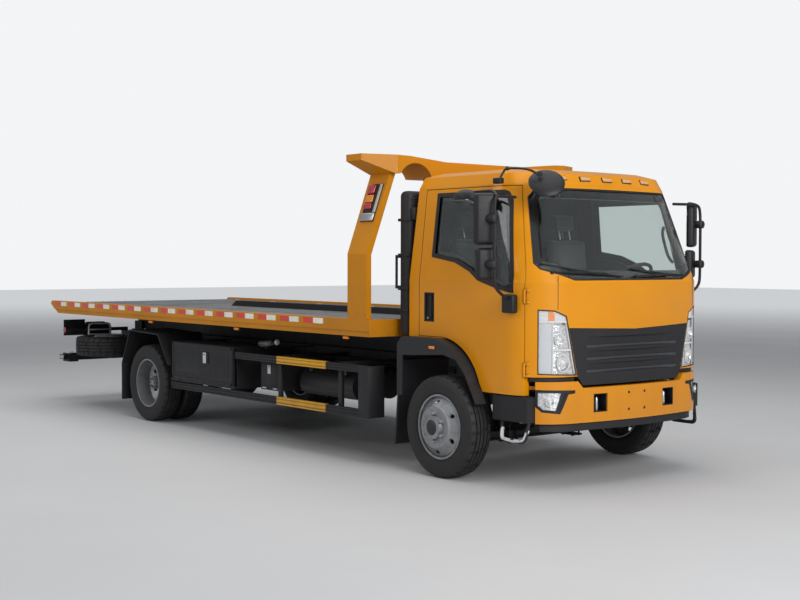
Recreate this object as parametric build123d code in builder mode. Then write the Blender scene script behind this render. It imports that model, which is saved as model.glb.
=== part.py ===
import os
from math import cos, hypot, radians, sin

from build123d import *

os.makedirs("parts", exist_ok=True)

# Flatbed tow truck. Millimetres, Z up, ground at Z 0, the front looks along -Y,
# the driver's left-hand side is +X. Stations are counted rearwards from the front axle.

# Overall
wheelbase = 4700
front_overhang = 1055
rear_overhang = 2720
overall_length = front_overhang + wheelbase + rear_overhang
front_axle_y = front_overhang - overall_length / 2
rear_axle_y = front_axle_y + wheelbase

# Clearances
running_gap = 0.3
door_gap = 5
moving_gap = 6

# Wheels and tyres
tyre_radius = 405.5
tyre_width = 226
bead_radius = 250
rim_thickness = 9
front_tyre_outer_x = 1140
rear_tyre_outer_x = 1215
dual_spacing = 256
axle_z = tyre_radius
stud_circle = 222.25
stud_hole_radius = 9
stub_radius = 45
hub_outer_x = 1140
hub_reach = hub_outer_x - rear_tyre_outer_x + tyre_width / 2 + dual_spacing / 2
rim_well_radius = bead_radius - rim_thickness

# Chassis
rail_top = 880
rail_height = 200
rail_half_width = 400
rail_flange = 65
rail_thickness = 8
rail_front = -780
rail_rear = 6620
rail_bottom = rail_top - rail_height
rail_inner_x = rail_half_width - rail_flange

# Front axle and steering
kingpin_x = 920
kingpin_radius = 18
boss_radius = 42
boss_height = 110
yoke_thickness = 34
beam_depth = 80
beam_drop_z = 290
beam_height = 75
tie_rod_y = 185
tie_rod_x = kingpin_x
tie_rod_radius = 15
spindle_radius = 30
spindle_length = 120
tie_pin_radius = 9

# Engine and cab fittings
engine_half_width = 280
steering_x = 560

# Springs
spring_width = 64
spring_x = (334, 398)
spring_thickness = 54
spring_half_length = 600
spring_rise = 110

# Cab shell
cab_bottom = 700
cab_wall = 45
cab_front_bottom = 845
apron_inset = 20
apron_bottom = 812
apron_gap_x = 612
cab_belt = 1550
cab_eaves = 2300
cab_rear = 520
floor_z = 1110
floor_thickness = 28
footwell_z = 745
footwell_rear = -440
floor_front = -850
tunnel_half_width = 430
tunnel_top = 1225
glass_inset = 10
glass_thickness = 6

# Cab sections: height, half width, front at the corner, bulge at the middle, corner radius, rear
cab_sections = [
    (cab_bottom, 1000, -985, 45, 350, cab_rear),
    (cab_belt, 1000, -985, 45, 350, cab_rear),
    (cab_eaves, 915, -705, 40, 350, cab_rear - 25),
    (2390, 880, -665, 40, 340, cab_rear - 55),
    (2425, 760, -560, 30, 300, cab_rear - 150),
]

# Doors
door_front_y = -797
door_rear_y = 396
door_bottom = 700
door_top = 2290
hinge_x = 966
hinge_y = door_front_y
hinge_heights = (900, 1450)
hinge_barrel_radius = 9
hinge_barrel_height = 70
hinge_lug_height = 18
hinge_pin_radius = 4

# Mirrors
mirror_x = -1215
mirror_arm_x = -1190
mirror_tube_radius = 12
# Housings: bottom, top, width
mirror_housings = [(1792, 2225, 170), (1560, 1755, 165)]

# Wheel arches
arch_top = 1095
flare_foot_z = 616
lip_rear = 492
arch_rear = 560
flare_outer_x = 1100
flare_inner_x = 930
liner_inner_x = 560
liner_thickness = 8

# Bumper and front
bumper_bottom = 495
bumper_top = 757
bumper_shoulder = 810
bumper_thickness = 60
bumper_half_width = 990
bumper_corner_y = -1010
bumper_corner_radius = 380
bumper_rear = -860
bumper_bracket_y = -975.3
skirt_bottom = 434
tow_hole_x = 389
tow_hole_z = 638
tow_hole_size = 140

# Side equipment
guard_face_x = 1200
guard_upper_z = (772, 835)
guard_lower_z = (395, 463)
guard_depth = 40
guard_front = 810
guard_posts = (1270, 2210)
tank_x = (440, 1000)
tank_y = (1330, 2150)
box_front_y = 2940
box_rear_y = 4180
box_bottom = 475
box_top = 875
box_inner_x = 780
box_outer_x = 1164
box_wall = 15
lid_thickness = 25
lid_hinge_x = 1192
lid_hinge_z = 487
lid_pin_radius = 5
latch_y = 3480

# Tilt frame and bed
tilt_hinge_y = 6450
tilt_hinge_z = 930
tilt_rail_x = (290, 370)
tilt_rail_top = 1005
tilt_front = 880
tilt_pin_radius = 28
bed_half_width = 1250
bed_front = 740
bed_rear = 7040
bed_rail_bottom = 1080
bed_rail_top = 1225
bed_rail_width = 60
bed_front_plate = 12
deck_seam_y = 4950
deck_top = 1200
deck_thickness = 8
bearer_depth = 50
bearer_bottom = 1130
guide_y = (900, 2400)

# Headboard
post_front = 777
post_rear = 1040
post_kink_z = 1770
post_top_z = 2440
post_lean = 250
beam_front = 700
beam_rear = 1060
beam_low_z = 2415
beam_tip_z = (2545, 2600)
arch_crown_z = 2532
arch_x = (610, 950)
column_x = 560
cluster_y = (810, 990)
cluster_z = (2035, 2355)
cluster_depth = 24

# Tilt cylinders
barrel_pivot_y = 3300
barrel_pivot_z = 600
rod_eye_y = 4380
rod_eye_z = 815
cylinder_x = 170
barrel_radius = 52
rod_radius = 24
barrel_length = 760
rod_start = 240
slide_z = 950
slide_barrel_y = (930, 5080)
slide_barrel_radius = 42
slide_rod_radius = 25
slide_lug_y = 5160
slide_lug_half = 60
slide_lug_drop = 35

eye_half_width = 25
eye_radius = 36
eye_pin_radius = 20
ear_thickness = 16
hinge_plate = 24

# Underlift
lift_pin_radius = 25
boom_half_width = 75
lift_pivot_y = 5900
lift_pivot_z = 560
lift_bar_y = 7330
lift_bar_z = 520
lift_bar_half = 930
boom_rear = 6950
boom_low = 490
boom_high = 600
bar_half_width = 50
bar_front = 6060
bar_low = 510
bar_high = 580
claw_hole_radius = 22

# Rear
lamp_bar_y = 6850
lamp_bar_half = 1150

# Spare wheel
spare_x = -830
spare_y = 6300
spare_z = 710
carrier_top = spare_z - tyre_width / 2


def slab(x, y, z, mode=Mode.ADD):
    # A box between two limits on each axis, y counted from the front axle
    with Locations(((x[0] + x[1]) / 2, front_axle_y + (y[0] + y[1]) / 2, (z[0] + z[1]) / 2)):
        Box(abs(x[1] - x[0]), abs(y[1] - y[0]), abs(z[1] - z[0]), mode=mode)


def sides(low, high, side):
    # Limits of a piece on one side of the truck
    return (low, high) if side > 0 else (-high, -low)


def side_plane(x):
    # Side view: local x runs rearwards from the front axle, local y runs up
    return Plane(origin=(x, front_axle_y, 0), x_dir=(0, 1, 0), z_dir=(1, 0, 0))


def cross_plane(y):
    # Rear view: local x runs to the left-hand side, local y runs up, extrusion runs forwards
    return Plane(origin=(0, front_axle_y + y, 0), x_dir=(1, 0, 0), z_dir=(0, -1, 0))


def level_plane(z):
    # Plan view: local x runs to the left-hand side, local y runs rearwards from the front axle
    return Plane(origin=(0, front_axle_y, z), x_dir=(1, 0, 0), z_dir=(0, 0, 1))


def post_face_x(z):
    # The outer face of the headboard's post where it leans inwards
    return bed_half_width - post_lean * (z - post_kink_z) / (post_top_z + 20 - post_kink_z)


def plan_outline(half_width, corner_y, bulge, radius, rear):
    # Closed plan outline with a bowed front and rounded front corners
    corner_x = half_width - radius
    side_y = corner_y + radius
    mid_x = corner_x + radius * sin(radians(45))
    mid_y = side_y - radius * cos(radians(45))
    with BuildSketch() as outline:
        with BuildLine():
            ThreePointArc((-corner_x, corner_y), (0, corner_y - bulge), (corner_x, corner_y))
            ThreePointArc((corner_x, corner_y), (mid_x, mid_y), (half_width, side_y))
            Polyline((half_width, side_y), (half_width, rear), (-half_width, rear), (-half_width, side_y))
            ThreePointArc((-half_width, side_y), (-mid_x, mid_y), (-corner_x, corner_y))
        make_face()
    return outline.sketch


def cab_solid(inset):
    # The cab's outer form, or the same form moved inwards
    with BuildPart() as form:
        for lower, upper in zip(cab_sections[:-1], cab_sections[1:]):
            for height, half_width, corner_y, bulge, radius, rear in (lower, upper):
                drop = inset if height > cab_eaves else 0
                with BuildSketch(level_plane(height - drop)):
                    add(plan_outline(half_width - inset, corner_y + inset, bulge, radius - inset, rear - inset))
            loft(ruled=True)
    return form.part


def arch_outline(grow, foot_z, lean=0):
    # Closed side outline of the front wheel arch, grown outwards by a margin
    top = arch_top + grow
    rear = arch_rear + grow
    with BuildSketch() as outline:
        with BuildLine():
            Polyline((-375 - grow - lean, foot_z), (-317 - grow - lean, 770))
            ThreePointArc((-317 - grow - lean, 770), (-164 - 0.75 * grow, 979 + 0.6 * grow), (100, top))
            Polyline((100, top), (rear - 60, top), (rear, top - 60), (rear, foot_z), (-375 - grow - lean, foot_z))
        make_face()
    return outline.sketch


cab_outer = cab_solid(0)
cab_inner = cab_solid(cab_wall)
glass_outer = cab_solid(glass_inset)
glass_inner = cab_solid(glass_inset + glass_thickness)

# Outlines in the side view that part the cab shell into its panels
with BuildSketch() as door_outline:
    with BuildLine():
        Polyline((door_front_y, door_bottom), (door_front_y, cab_belt + 30), (-772, 1690), (-610, door_top),
                 (door_rear_y, door_top), (door_rear_y, arch_top + door_gap), (100, arch_top + door_gap))
        ThreePointArc((100, arch_top + door_gap), (-176, 990), (-330, 770))
        Polyline((-330, 770), (-372, door_bottom), (door_front_y, door_bottom))
    make_face()

with BuildSketch() as door_leaf_outline:
    add(door_outline.sketch)
    offset(amount=-door_gap, kind=Kind.INTERSECTION, mode=Mode.REPLACE)

with BuildSketch() as window_outline:
    with BuildLine():
        Polyline((255, 2255), (262, 1743), (-24, 1700), (-202, 1630), (-307, 1562), (-551, 1496),
                 (-705, 1470), (-700, 1600), (-580, 2175), (-540, 2240), (-500, 2255), (255, 2255))
    make_face()

with BuildPart() as screen_prism:
    with BuildSketch(cross_plane(-380)):
        with BuildLine():
            Polyline((-895, 1695), (-870, 1648), (-620, 1566), (620, 1566), (870, 1648), (895, 1695),
                     (805, 2200), (735, 2275), (-735, 2275), (-805, 2200), (-895, 1695))
        make_face()
    extrude(amount=900)

with BuildPart() as arch_prism:
    with BuildSketch(side_plane(400)):
        add(arch_outline(0, 400))
    extrude(amount=900)
    with BuildSketch(side_plane(-1300)):
        add(arch_outline(0, 400))
    extrude(amount=900)

with BuildPart() as cab_shell:
    add(cab_outer)
    add(cab_inner, mode=Mode.SUBTRACT)

with BuildPart() as glass_shell:
    add(glass_outer)
    add(glass_inner, mode=Mode.SUBTRACT)

# Lamp and grille outlines in the front view
lamp_outline = [(905, 1352), (800, 1345), (705, 1302), (603, 852), (905, 866)]
grille_outline = [(-683, 1212), (0, 1190), (683, 1212), (598, 845), (545, 775), (-545, 775), (-598, 845)]

with BuildPart() as lamp_prism:
    for side in (-1, 1):
        with BuildSketch(cross_plane(-500)):
            with BuildLine():
                Polyline(*[(side * x, z) for x, z in lamp_outline], close=True)
            make_face()
        extrude(amount=700)

with BuildPart() as grille_prism:
    with BuildSketch(cross_plane(-500)):
        with BuildLine():
            Polyline(*grille_outline, close=True)
        make_face()
    extrude(amount=700)

# Front panel under the windscreen
with BuildPart() as cab_front:
    add(cab_shell.part)
    slab((-1100, 1100), (-1200, -560), (cab_front_bottom, 1720), mode=Mode.INTERSECT)
    for side in (-1, 1):
        with BuildSketch(side_plane(side * 400)):
            add(door_outline.sketch)
        extrude(amount=side * 800, mode=Mode.SUBTRACT)
    add(screen_prism.part, mode=Mode.SUBTRACT)
    add(lamp_prism.part, mode=Mode.SUBTRACT)
    add(grille_prism.part, mode=Mode.SUBTRACT)
    for side in (-1, 1):
        for z in hinge_heights:
            with Locations((side * hinge_x, front_axle_y + hinge_y, z)):
                Cylinder(hinge_barrel_radius + moving_gap, hinge_barrel_height + 2 * hinge_lug_height,
                         mode=Mode.SUBTRACT)
            for end in (-1, 1):
                lug_z = z + end * (hinge_barrel_height + hinge_lug_height) / 2
                with Locations((side * hinge_x, front_axle_y + hinge_y, lug_z)):
                    Cylinder(hinge_barrel_radius, hinge_lug_height)
                slab((side * (hinge_x - 40), side * hinge_x), (hinge_y - 34, hinge_y),
                     (lug_z - hinge_lug_height / 2, lug_z + hinge_lug_height / 2))
            with Locations((side * hinge_x, front_axle_y + hinge_y, z)):
                Cylinder(hinge_pin_radius, hinge_barrel_height + hinge_lug_height)
cab_front.part.label = "cab_front"
export_step(cab_front.part, "parts/cab_front.step")

# Stepped floor with the engine tunnel over the chassis
floor_half_width = cab_sections[0][1] - cab_wall - moving_gap
with BuildPart() as cab_floor:
    with BuildSketch(side_plane(-floor_half_width)):
        with BuildLine():
            Polyline((floor_front, footwell_z), (footwell_rear, footwell_z), (footwell_rear, floor_z),
                     (cab_rear - cab_wall, floor_z), (cab_rear - cab_wall, floor_z + floor_thickness),
                     (footwell_rear - floor_thickness, floor_z + floor_thickness),
                     (footwell_rear - floor_thickness, footwell_z + floor_thickness),
                     (floor_front, footwell_z + floor_thickness), close=True)
        make_face()
    extrude(amount=2 * floor_half_width)
    slab((-tunnel_half_width, tunnel_half_width), (floor_front, cab_rear - cab_wall), (footwell_z, tunnel_top))
    slab((-tunnel_half_width + floor_thickness, tunnel_half_width - floor_thickness),
         (floor_front - 5, cab_rear), (footwell_z - 10, tunnel_top - floor_thickness), mode=Mode.SUBTRACT)
    for side in (-1, 1):
        with BuildSketch(level_plane(footwell_z)):
            with BuildLine():
                Polyline((side * (floor_half_width + 10), -600), (side * (floor_half_width - 40), -760),
                         (side * (floor_half_width - 110), floor_front - 5),
                         (side * (floor_half_width + 10), floor_front - 5), close=True)
            make_face()
        extrude(amount=floor_thickness + 1, mode=Mode.SUBTRACT)

# Pillars, back wall, floor and engine tunnel
with BuildPart() as cab_frame:
    add(cab_shell.part)
    slab((-1100, 1100), (-1200, cab_rear), (cab_bottom, cab_eaves), mode=Mode.INTERSECT)
    slab((-1100, 1100), (-1200, -560), (cab_bottom, 1720), mode=Mode.SUBTRACT)
    slab((-1100, 1100), (-560, cab_rear), (cab_bottom, arch_top), mode=Mode.SUBTRACT)
    for side in (-1, 1):
        with BuildSketch(side_plane(side * 400)):
            add(door_outline.sketch)
        extrude(amount=side * 800, mode=Mode.SUBTRACT)
    add(screen_prism.part, mode=Mode.SUBTRACT)
    add(arch_prism.part, mode=Mode.SUBTRACT)
    add(cab_floor.part)
cab_frame.part.label = "cab_frame"
export_step(cab_frame.part, "parts/cab_frame.step")

# Roof with its brow over the windscreen
with BuildPart() as cab_roof:
    add(cab_shell.part)
    slab((-1100, 1100), (-1200, cab_rear), (cab_eaves, 2500), mode=Mode.INTERSECT)
cab_roof.part.label = "cab_roof"
export_step(cab_roof.part, "parts/cab_roof.step")

with BuildPart() as windscreen:
    add(glass_shell.part)
    add(screen_prism.part, mode=Mode.INTERSECT)
windscreen.part.label = "windscreen"
export_step(windscreen.part, "parts/windscreen.step")

# Bumper form and the outlines of the lamps let into it
with BuildPart() as bumper_blank:
    with BuildSketch(level_plane(bumper_bottom)):
        add(plan_outline(bumper_half_width, bumper_corner_y, 45, bumper_corner_radius, 0))
    extrude(amount=bumper_shoulder - bumper_bottom)
    with BuildSketch(level_plane(bumper_bottom)):
        add(plan_outline(bumper_half_width - bumper_thickness, bumper_corner_y + bumper_thickness, 45,
                         bumper_corner_radius - bumper_thickness, 10))
    extrude(amount=bumper_shoulder - bumper_bottom, mode=Mode.SUBTRACT)
    slab((-1100, 1100), (-1200, bumper_rear), (bumper_bottom, bumper_shoulder), mode=Mode.INTERSECT)
    with BuildSketch(cross_plane(-500)):
        with BuildLine():
            Polyline((-610, bumper_shoulder + 1), (-560, bumper_top), (560, bumper_top), (610, bumper_shoulder + 1),
                     close=True)
        make_face()
    extrude(amount=700, mode=Mode.SUBTRACT)

fog_outline = [(925, 752), (640, 745), (640, 722), (700, 716), (765, 570), (880, 585), (925, 640)]
with BuildPart() as fog_prism:
    for side in (-1, 1):
        with BuildSketch(cross_plane(-500)):
            with BuildLine():
                Polyline(*[(side * x, z) for x, z in fog_outline], close=True)
            make_face()
        extrude(amount=700)

with BuildPart() as fog_form:
    add(bumper_blank.part)
    add(fog_prism.part, mode=Mode.INTERSECT)

# Headlamps in the cab's face and fog lamps in the bumper
with BuildPart() as front_lamps:
    add(cab_shell.part)
    add(lamp_prism.part, mode=Mode.INTERSECT)
    add(fog_form.part)
front_lamps.part.label = "front_lamps"
export_step(front_lamps.part, "parts/front_lamps.step")

# Grille: a recessed panel crossed by broad bars, and the narrow apron under the lamps
with BuildPart() as apron:
    add(cab_solid(apron_inset))
    add(cab_solid(apron_inset + cab_wall), mode=Mode.SUBTRACT)
    slab((-1100, 1100), (-1200, -560), (apron_bottom, cab_front_bottom - running_gap), mode=Mode.INTERSECT)
    slab((-apron_gap_x, apron_gap_x), (-1200, -560), (apron_bottom - 1, cab_front_bottom), mode=Mode.SUBTRACT)
    for side in (-1, 1):
        with BuildSketch(side_plane(side * 400)):
            add(door_outline.sketch)
        extrude(amount=side * 800, mode=Mode.SUBTRACT)
        slab(sides(hinge_x - 40 - running_gap, hinge_x + hinge_barrel_radius, side),
             (hinge_y - 34 - running_gap, hinge_y + hinge_barrel_radius), (apron_bottom - 1, cab_front_bottom),
             mode=Mode.SUBTRACT)

with BuildPart() as grille:
    add(cab_shell.part)
    add(grille_prism.part, mode=Mode.INTERSECT)
    for z_low, z_high in ((868, 940), (962, 1034), (1056, 1140)):
        slab((-520, 520), (-1100, -1003), (z_low, z_high), mode=Mode.SUBTRACT)
    add(apron.part)
grille.part.label = "grille"
export_step(grille.part, "parts/grille.step")

# Doors with their hinge barrels, the right one first
with BuildPart() as door_right:
    add(cab_shell.part)
    with BuildSketch(side_plane(-400)):
        add(door_leaf_outline.sketch)
    extrude(amount=-800, mode=Mode.INTERSECT)
    with BuildSketch(side_plane(-400)):
        add(window_outline.sketch)
    extrude(amount=-800, mode=Mode.SUBTRACT)
    slab((-1010, -978), (205, 330), (1222, 1458), mode=Mode.SUBTRACT)
    for z in hinge_heights:
        with Locations((-hinge_x, front_axle_y + hinge_y, z)):
            Cylinder(hinge_barrel_radius + moving_gap, hinge_barrel_height + 2 * (hinge_lug_height + moving_gap),
                     mode=Mode.SUBTRACT)
            Cylinder(hinge_barrel_radius, hinge_barrel_height - 2 * running_gap)
        slab((-hinge_x, -hinge_x + 30), (hinge_y, hinge_y + 30),
             (z - hinge_barrel_height / 2 + running_gap, z + hinge_barrel_height / 2 - running_gap))
        with Locations((-hinge_x, front_axle_y + hinge_y, z)):
            Cylinder(hinge_pin_radius + running_gap, hinge_barrel_height, mode=Mode.SUBTRACT)
door_right.part.label = "door_right"
export_step(door_right.part, "parts/door_right.step")
with BuildPart() as door_left:
    mirror(door_right.part, about=Plane.YZ)
door_left.part.label = "door_left"
export_step(door_left.part, "parts/door_left.step")

with BuildPart() as door_glass_right:
    add(glass_shell.part)
    with BuildSketch(side_plane(-400)):
        add(window_outline.sketch)
    extrude(amount=-800, mode=Mode.INTERSECT)
door_glass_right.part.label = "door_glass_right"
export_step(door_glass_right.part, "parts/door_glass_right.step")
with BuildPart() as door_glass_left:
    mirror(door_glass_right.part, about=Plane.YZ)
door_glass_left.part.label = "door_glass_left"
export_step(door_glass_left.part, "parts/door_glass_left.step")

# Mirrors: a bent tube from a pad on the door up to the window frame, with two housings
with BuildPart() as mirror_right:
    with BuildLine() as arm_path:
        FilletPolyline((-1012, front_axle_y - 700, 1392), (mirror_arm_x, front_axle_y - 735, 1480),
                       (mirror_arm_x, front_axle_y - 735, 2215), (-945, front_axle_y - 560, 2262),
                       radius=60)
    with BuildSketch(Plane(origin=arm_path.line @ 0, z_dir=arm_path.line % 0)):
        Circle(mirror_tube_radius)
    sweep()
    slab((-1060, -990), (-765, -635), (1320, 1465))
    for low, high, width in mirror_housings:
        slab((mirror_x - width / 2, mirror_x + width / 2), (-635, -565), (low, high))
        slab((mirror_arm_x - 18, mirror_arm_x + 18), (-735, -600), ((low + high) / 2 - 20, (low + high) / 2 + 20))
    slab((-1200, -1010), (-420, -170), (2150, 2245))
    slab((-1090, -1062), (-685, -200), (2225, 2250))
    add(cab_outer, mode=Mode.SUBTRACT)
mirror_right.part.label = "mirror_right"
export_step(mirror_right.part, "parts/mirror_right.step")
with BuildPart() as mirror_left:
    with BuildLine() as left_arm_path:
        FilletPolyline((1012, front_axle_y - 700, 1392), (-mirror_arm_x, front_axle_y - 735, 1480),
                       (-mirror_arm_x, front_axle_y - 735, 2215), (945, front_axle_y - 560, 2262),
                       radius=60)
    with BuildSketch(Plane(origin=left_arm_path.line @ 0, z_dir=left_arm_path.line % 0)):
        Circle(mirror_tube_radius)
    sweep()
    slab((990, 1060), (-765, -635), (1320, 1465))
    for low, high, width in mirror_housings:
        slab((-mirror_x - width / 2, -mirror_x + width / 2), (-635, -565), (low, high))
        slab((-mirror_arm_x - 18, -mirror_arm_x + 18), (-735, -600), ((low + high) / 2 - 20, (low + high) / 2 + 20))
    add(cab_outer, mode=Mode.SUBTRACT)
mirror_left.part.label = "mirror_left"
export_step(mirror_left.part, "parts/mirror_left.step")

# Round mirror on a bent arm at the right front corner of the roof
with BuildPart() as roof_mirror:
    with BuildLine() as roof_arm_path:
        FilletPolyline((-800, front_axle_y - 470, 2375), (-930, front_axle_y - 560, 2440),
                       (-905, front_axle_y - 880, 2430), (-905, front_axle_y - 905, 2330), radius=30)
    with BuildSketch(Plane(origin=roof_arm_path.line @ 0, z_dir=roof_arm_path.line % 0)):
        Circle(mirror_tube_radius - 3)
    sweep()
    with BuildSketch(Plane(origin=(-905, front_axle_y - 890, 2285), z_dir=(-0.5, -0.85, 0.2))):
        Circle(118)
    extrude(amount=48)
    add(cab_outer, mode=Mode.SUBTRACT)
roof_mirror.part.label = "roof_mirror"
export_step(roof_mirror.part, "parts/roof_mirror.step")

# Cab fittings
with BuildPart() as dashboard:
    with BuildSketch(side_plane(-860)):
        with BuildLine():
            Polyline((-935, 1120), (-760, 1120), (-700, 1290), (-640, 1350), (-640, 1500), (-700, 1530),
                     (-935, 1530), close=True)
        make_face()
    extrude(amount=1720)
    add(cab_solid(cab_wall + running_gap), mode=Mode.INTERSECT)
    slab((-tunnel_half_width - moving_gap, tunnel_half_width + moving_gap), (-960, -500),
         (1100, tunnel_top + running_gap), mode=Mode.SUBTRACT)
dashboard.part.label = "dashboard"
export_step(dashboard.part, "parts/dashboard.step")

wheel_plane = Plane(origin=(steering_x, front_axle_y - 470, 1560), x_dir=(1, 0, 0), z_dir=(0, 0.62, 0.78))
with BuildPart() as steering_wheel:
    with BuildSketch(Plane.XZ.shift_origin((0, 0, 0))) as rim_section:
        with Locations((205, 0)):
            Circle(15)
    revolve(axis=Axis.Z)
    with Locations((0, 0, -18)):
        Cylinder(48, 40)
    for angle in (0, 120, 240):
        with Locations(Rotation(0, 0, 90 + angle)):
            with Locations((120, 0, 0)):
                Box(160, 34, 14)
    with Locations((0, 0, -150)):
        Cylinder(26, 260)
steering_wheel.part.locate(wheel_plane.location)
with BuildPart() as steering_wheel_placed:
    add(steering_wheel.part)
    add(dashboard.part, mode=Mode.SUBTRACT)
steering_wheel_placed.part.label = "steering_wheel"
export_step(steering_wheel_placed.part, "parts/steering_wheel.step")

# Seats: centre, width
seat_table = [(560, 500), (-60, 420), (-560, 500)]
with BuildPart() as seats:
    for x, width in seat_table:
        base = tunnel_top if abs(x) < tunnel_half_width else floor_z + floor_thickness
        seat_x = (x - width / 2, x + width / 2)
        slab(seat_x, (-330, 240), (max(base, tunnel_top) + running_gap, 1400))
        slab((x - 125, x + 125), (-250, 150), (base + running_gap, 1300))
        with BuildSketch(side_plane(seat_x[0])):
            with BuildLine():
                Polyline((110, 1395), (240, 1395), (330, 1960), (240, 1960), close=True)
            make_face()
        extrude(amount=width)
        slab((x - 130, x + 130), (255, 335), (1955, 2130))
seats.part.label = "seats"
export_step(seats.part, "parts/seats.step")

# Black flares with their inner liners and mud flaps
with BuildPart() as wheel_arches:
    for side in (-1, 1):
        with BuildSketch(side_plane(side * liner_inner_x)):
            add(arch_outline(0, cab_bottom))
        extrude(amount=side * (flare_outer_x - liner_inner_x))
        with BuildSketch(side_plane(side * (cab_sections[0][1] + running_gap))):
            with BuildLine():
                Polyline((-372, cab_bottom + 1), (-422, flare_foot_z), (-402, flare_foot_z), (-312, cab_bottom + 1),
                         close=True)
            make_face()
        extrude(amount=side * (flare_outer_x - cab_sections[0][1] - running_gap))
        slab(sides(liner_inner_x, flare_outer_x, side), (lip_rear, arch_rear), (flare_foot_z, cab_bottom + 1))
        with BuildSketch(side_plane(side * (liner_inner_x - 10))):
            add(arch_outline(-liner_thickness, 400))
        extrude(amount=side * (flare_outer_x - liner_inner_x - 5), mode=Mode.SUBTRACT)
        with BuildSketch(side_plane(side * (liner_inner_x - 10))):
            with BuildLine():
                Polyline((-404, flare_foot_z - 10), (-364, 684), (-277, 834), (-172, 942), (-22, 973),
                         (lip_rear, 943), (lip_rear, flare_foot_z - 10), close=True)
            make_face()
        extrude(amount=side * (flare_outer_x - liner_inner_x + 20), mode=Mode.SUBTRACT)
        with BuildSketch(side_plane(side * liner_inner_x)):
            with BuildLine():
                Polyline((arch_rear - 30, 900), (arch_rear - 8, 900), (arch_rear + 55, 200), (arch_rear + 40, 200),
                         close=True)
            make_face()
        extrude(amount=side * (flare_outer_x - 20 - liner_inner_x))
wheel_arches.part.label = "wheel_arches"
export_step(wheel_arches.part, "parts/wheel_arches.step")

# Bumper with tow windows
with BuildPart() as bumper:
    add(bumper_blank.part)
    add(fog_prism.part, mode=Mode.SUBTRACT)
    for side in (-1, 1):
        slab((side * tow_hole_x - tow_hole_size / 2, side * tow_hole_x + tow_hole_size / 2), (-1200, -900),
             (tow_hole_z - tow_hole_size / 2, tow_hole_z + tow_hole_size / 2), mode=Mode.SUBTRACT)
bumper.part.label = "bumper"
export_step(bumper.part, "parts/bumper.step")

# Black skirt under the bumper and the steps under the doors
with BuildPart() as front_skirt:
    with BuildSketch(level_plane(skirt_bottom)):
        add(plan_outline(bumper_half_width - 30, bumper_corner_y + 20, 45, bumper_corner_radius, 0))
    extrude(amount=bumper_bottom - skirt_bottom)
    with BuildSketch(level_plane(skirt_bottom)):
        add(plan_outline(bumper_half_width - 70, bumper_corner_y + 60, 45, bumper_corner_radius - 40, 10))
    extrude(amount=bumper_bottom - skirt_bottom, mode=Mode.SUBTRACT)
    slab((-1100, 1100), (-1200, bumper_rear), (skirt_bottom, bumper_bottom), mode=Mode.INTERSECT)

with BuildPart() as cab_steps:
    for side in (-1, 1):
        slab(sides(620, 990, side), (-855, -478), (505, 695))
        with BuildLine() as step_path:
            FilletPolyline((side * 960, front_axle_y - 560, 506), (side * 990, front_axle_y - 575, 360),
                           (side * 990, front_axle_y - 835, 360), (side * 960, front_axle_y - 845, 506), radius=40)
        with BuildSketch(Plane(origin=step_path.line @ 0, z_dir=step_path.line % 0)):
            Circle(13)
        sweep()
    add(front_skirt.part)
cab_steps.part.label = "cab_steps"
export_step(cab_steps.part, "parts/cab_steps.step")

# Air intake duct behind the cab
with BuildPart() as intake_stack:
    slab((-985, -760), (560, 690), (1110, 2290))
    for z in (1250, 2050):
        slab((-960, -785), (cab_rear + running_gap, 560), (z, z + 100))
intake_stack.part.label = "intake_stack"
export_step(intake_stack.part, "parts/intake_stack.step")

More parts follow.
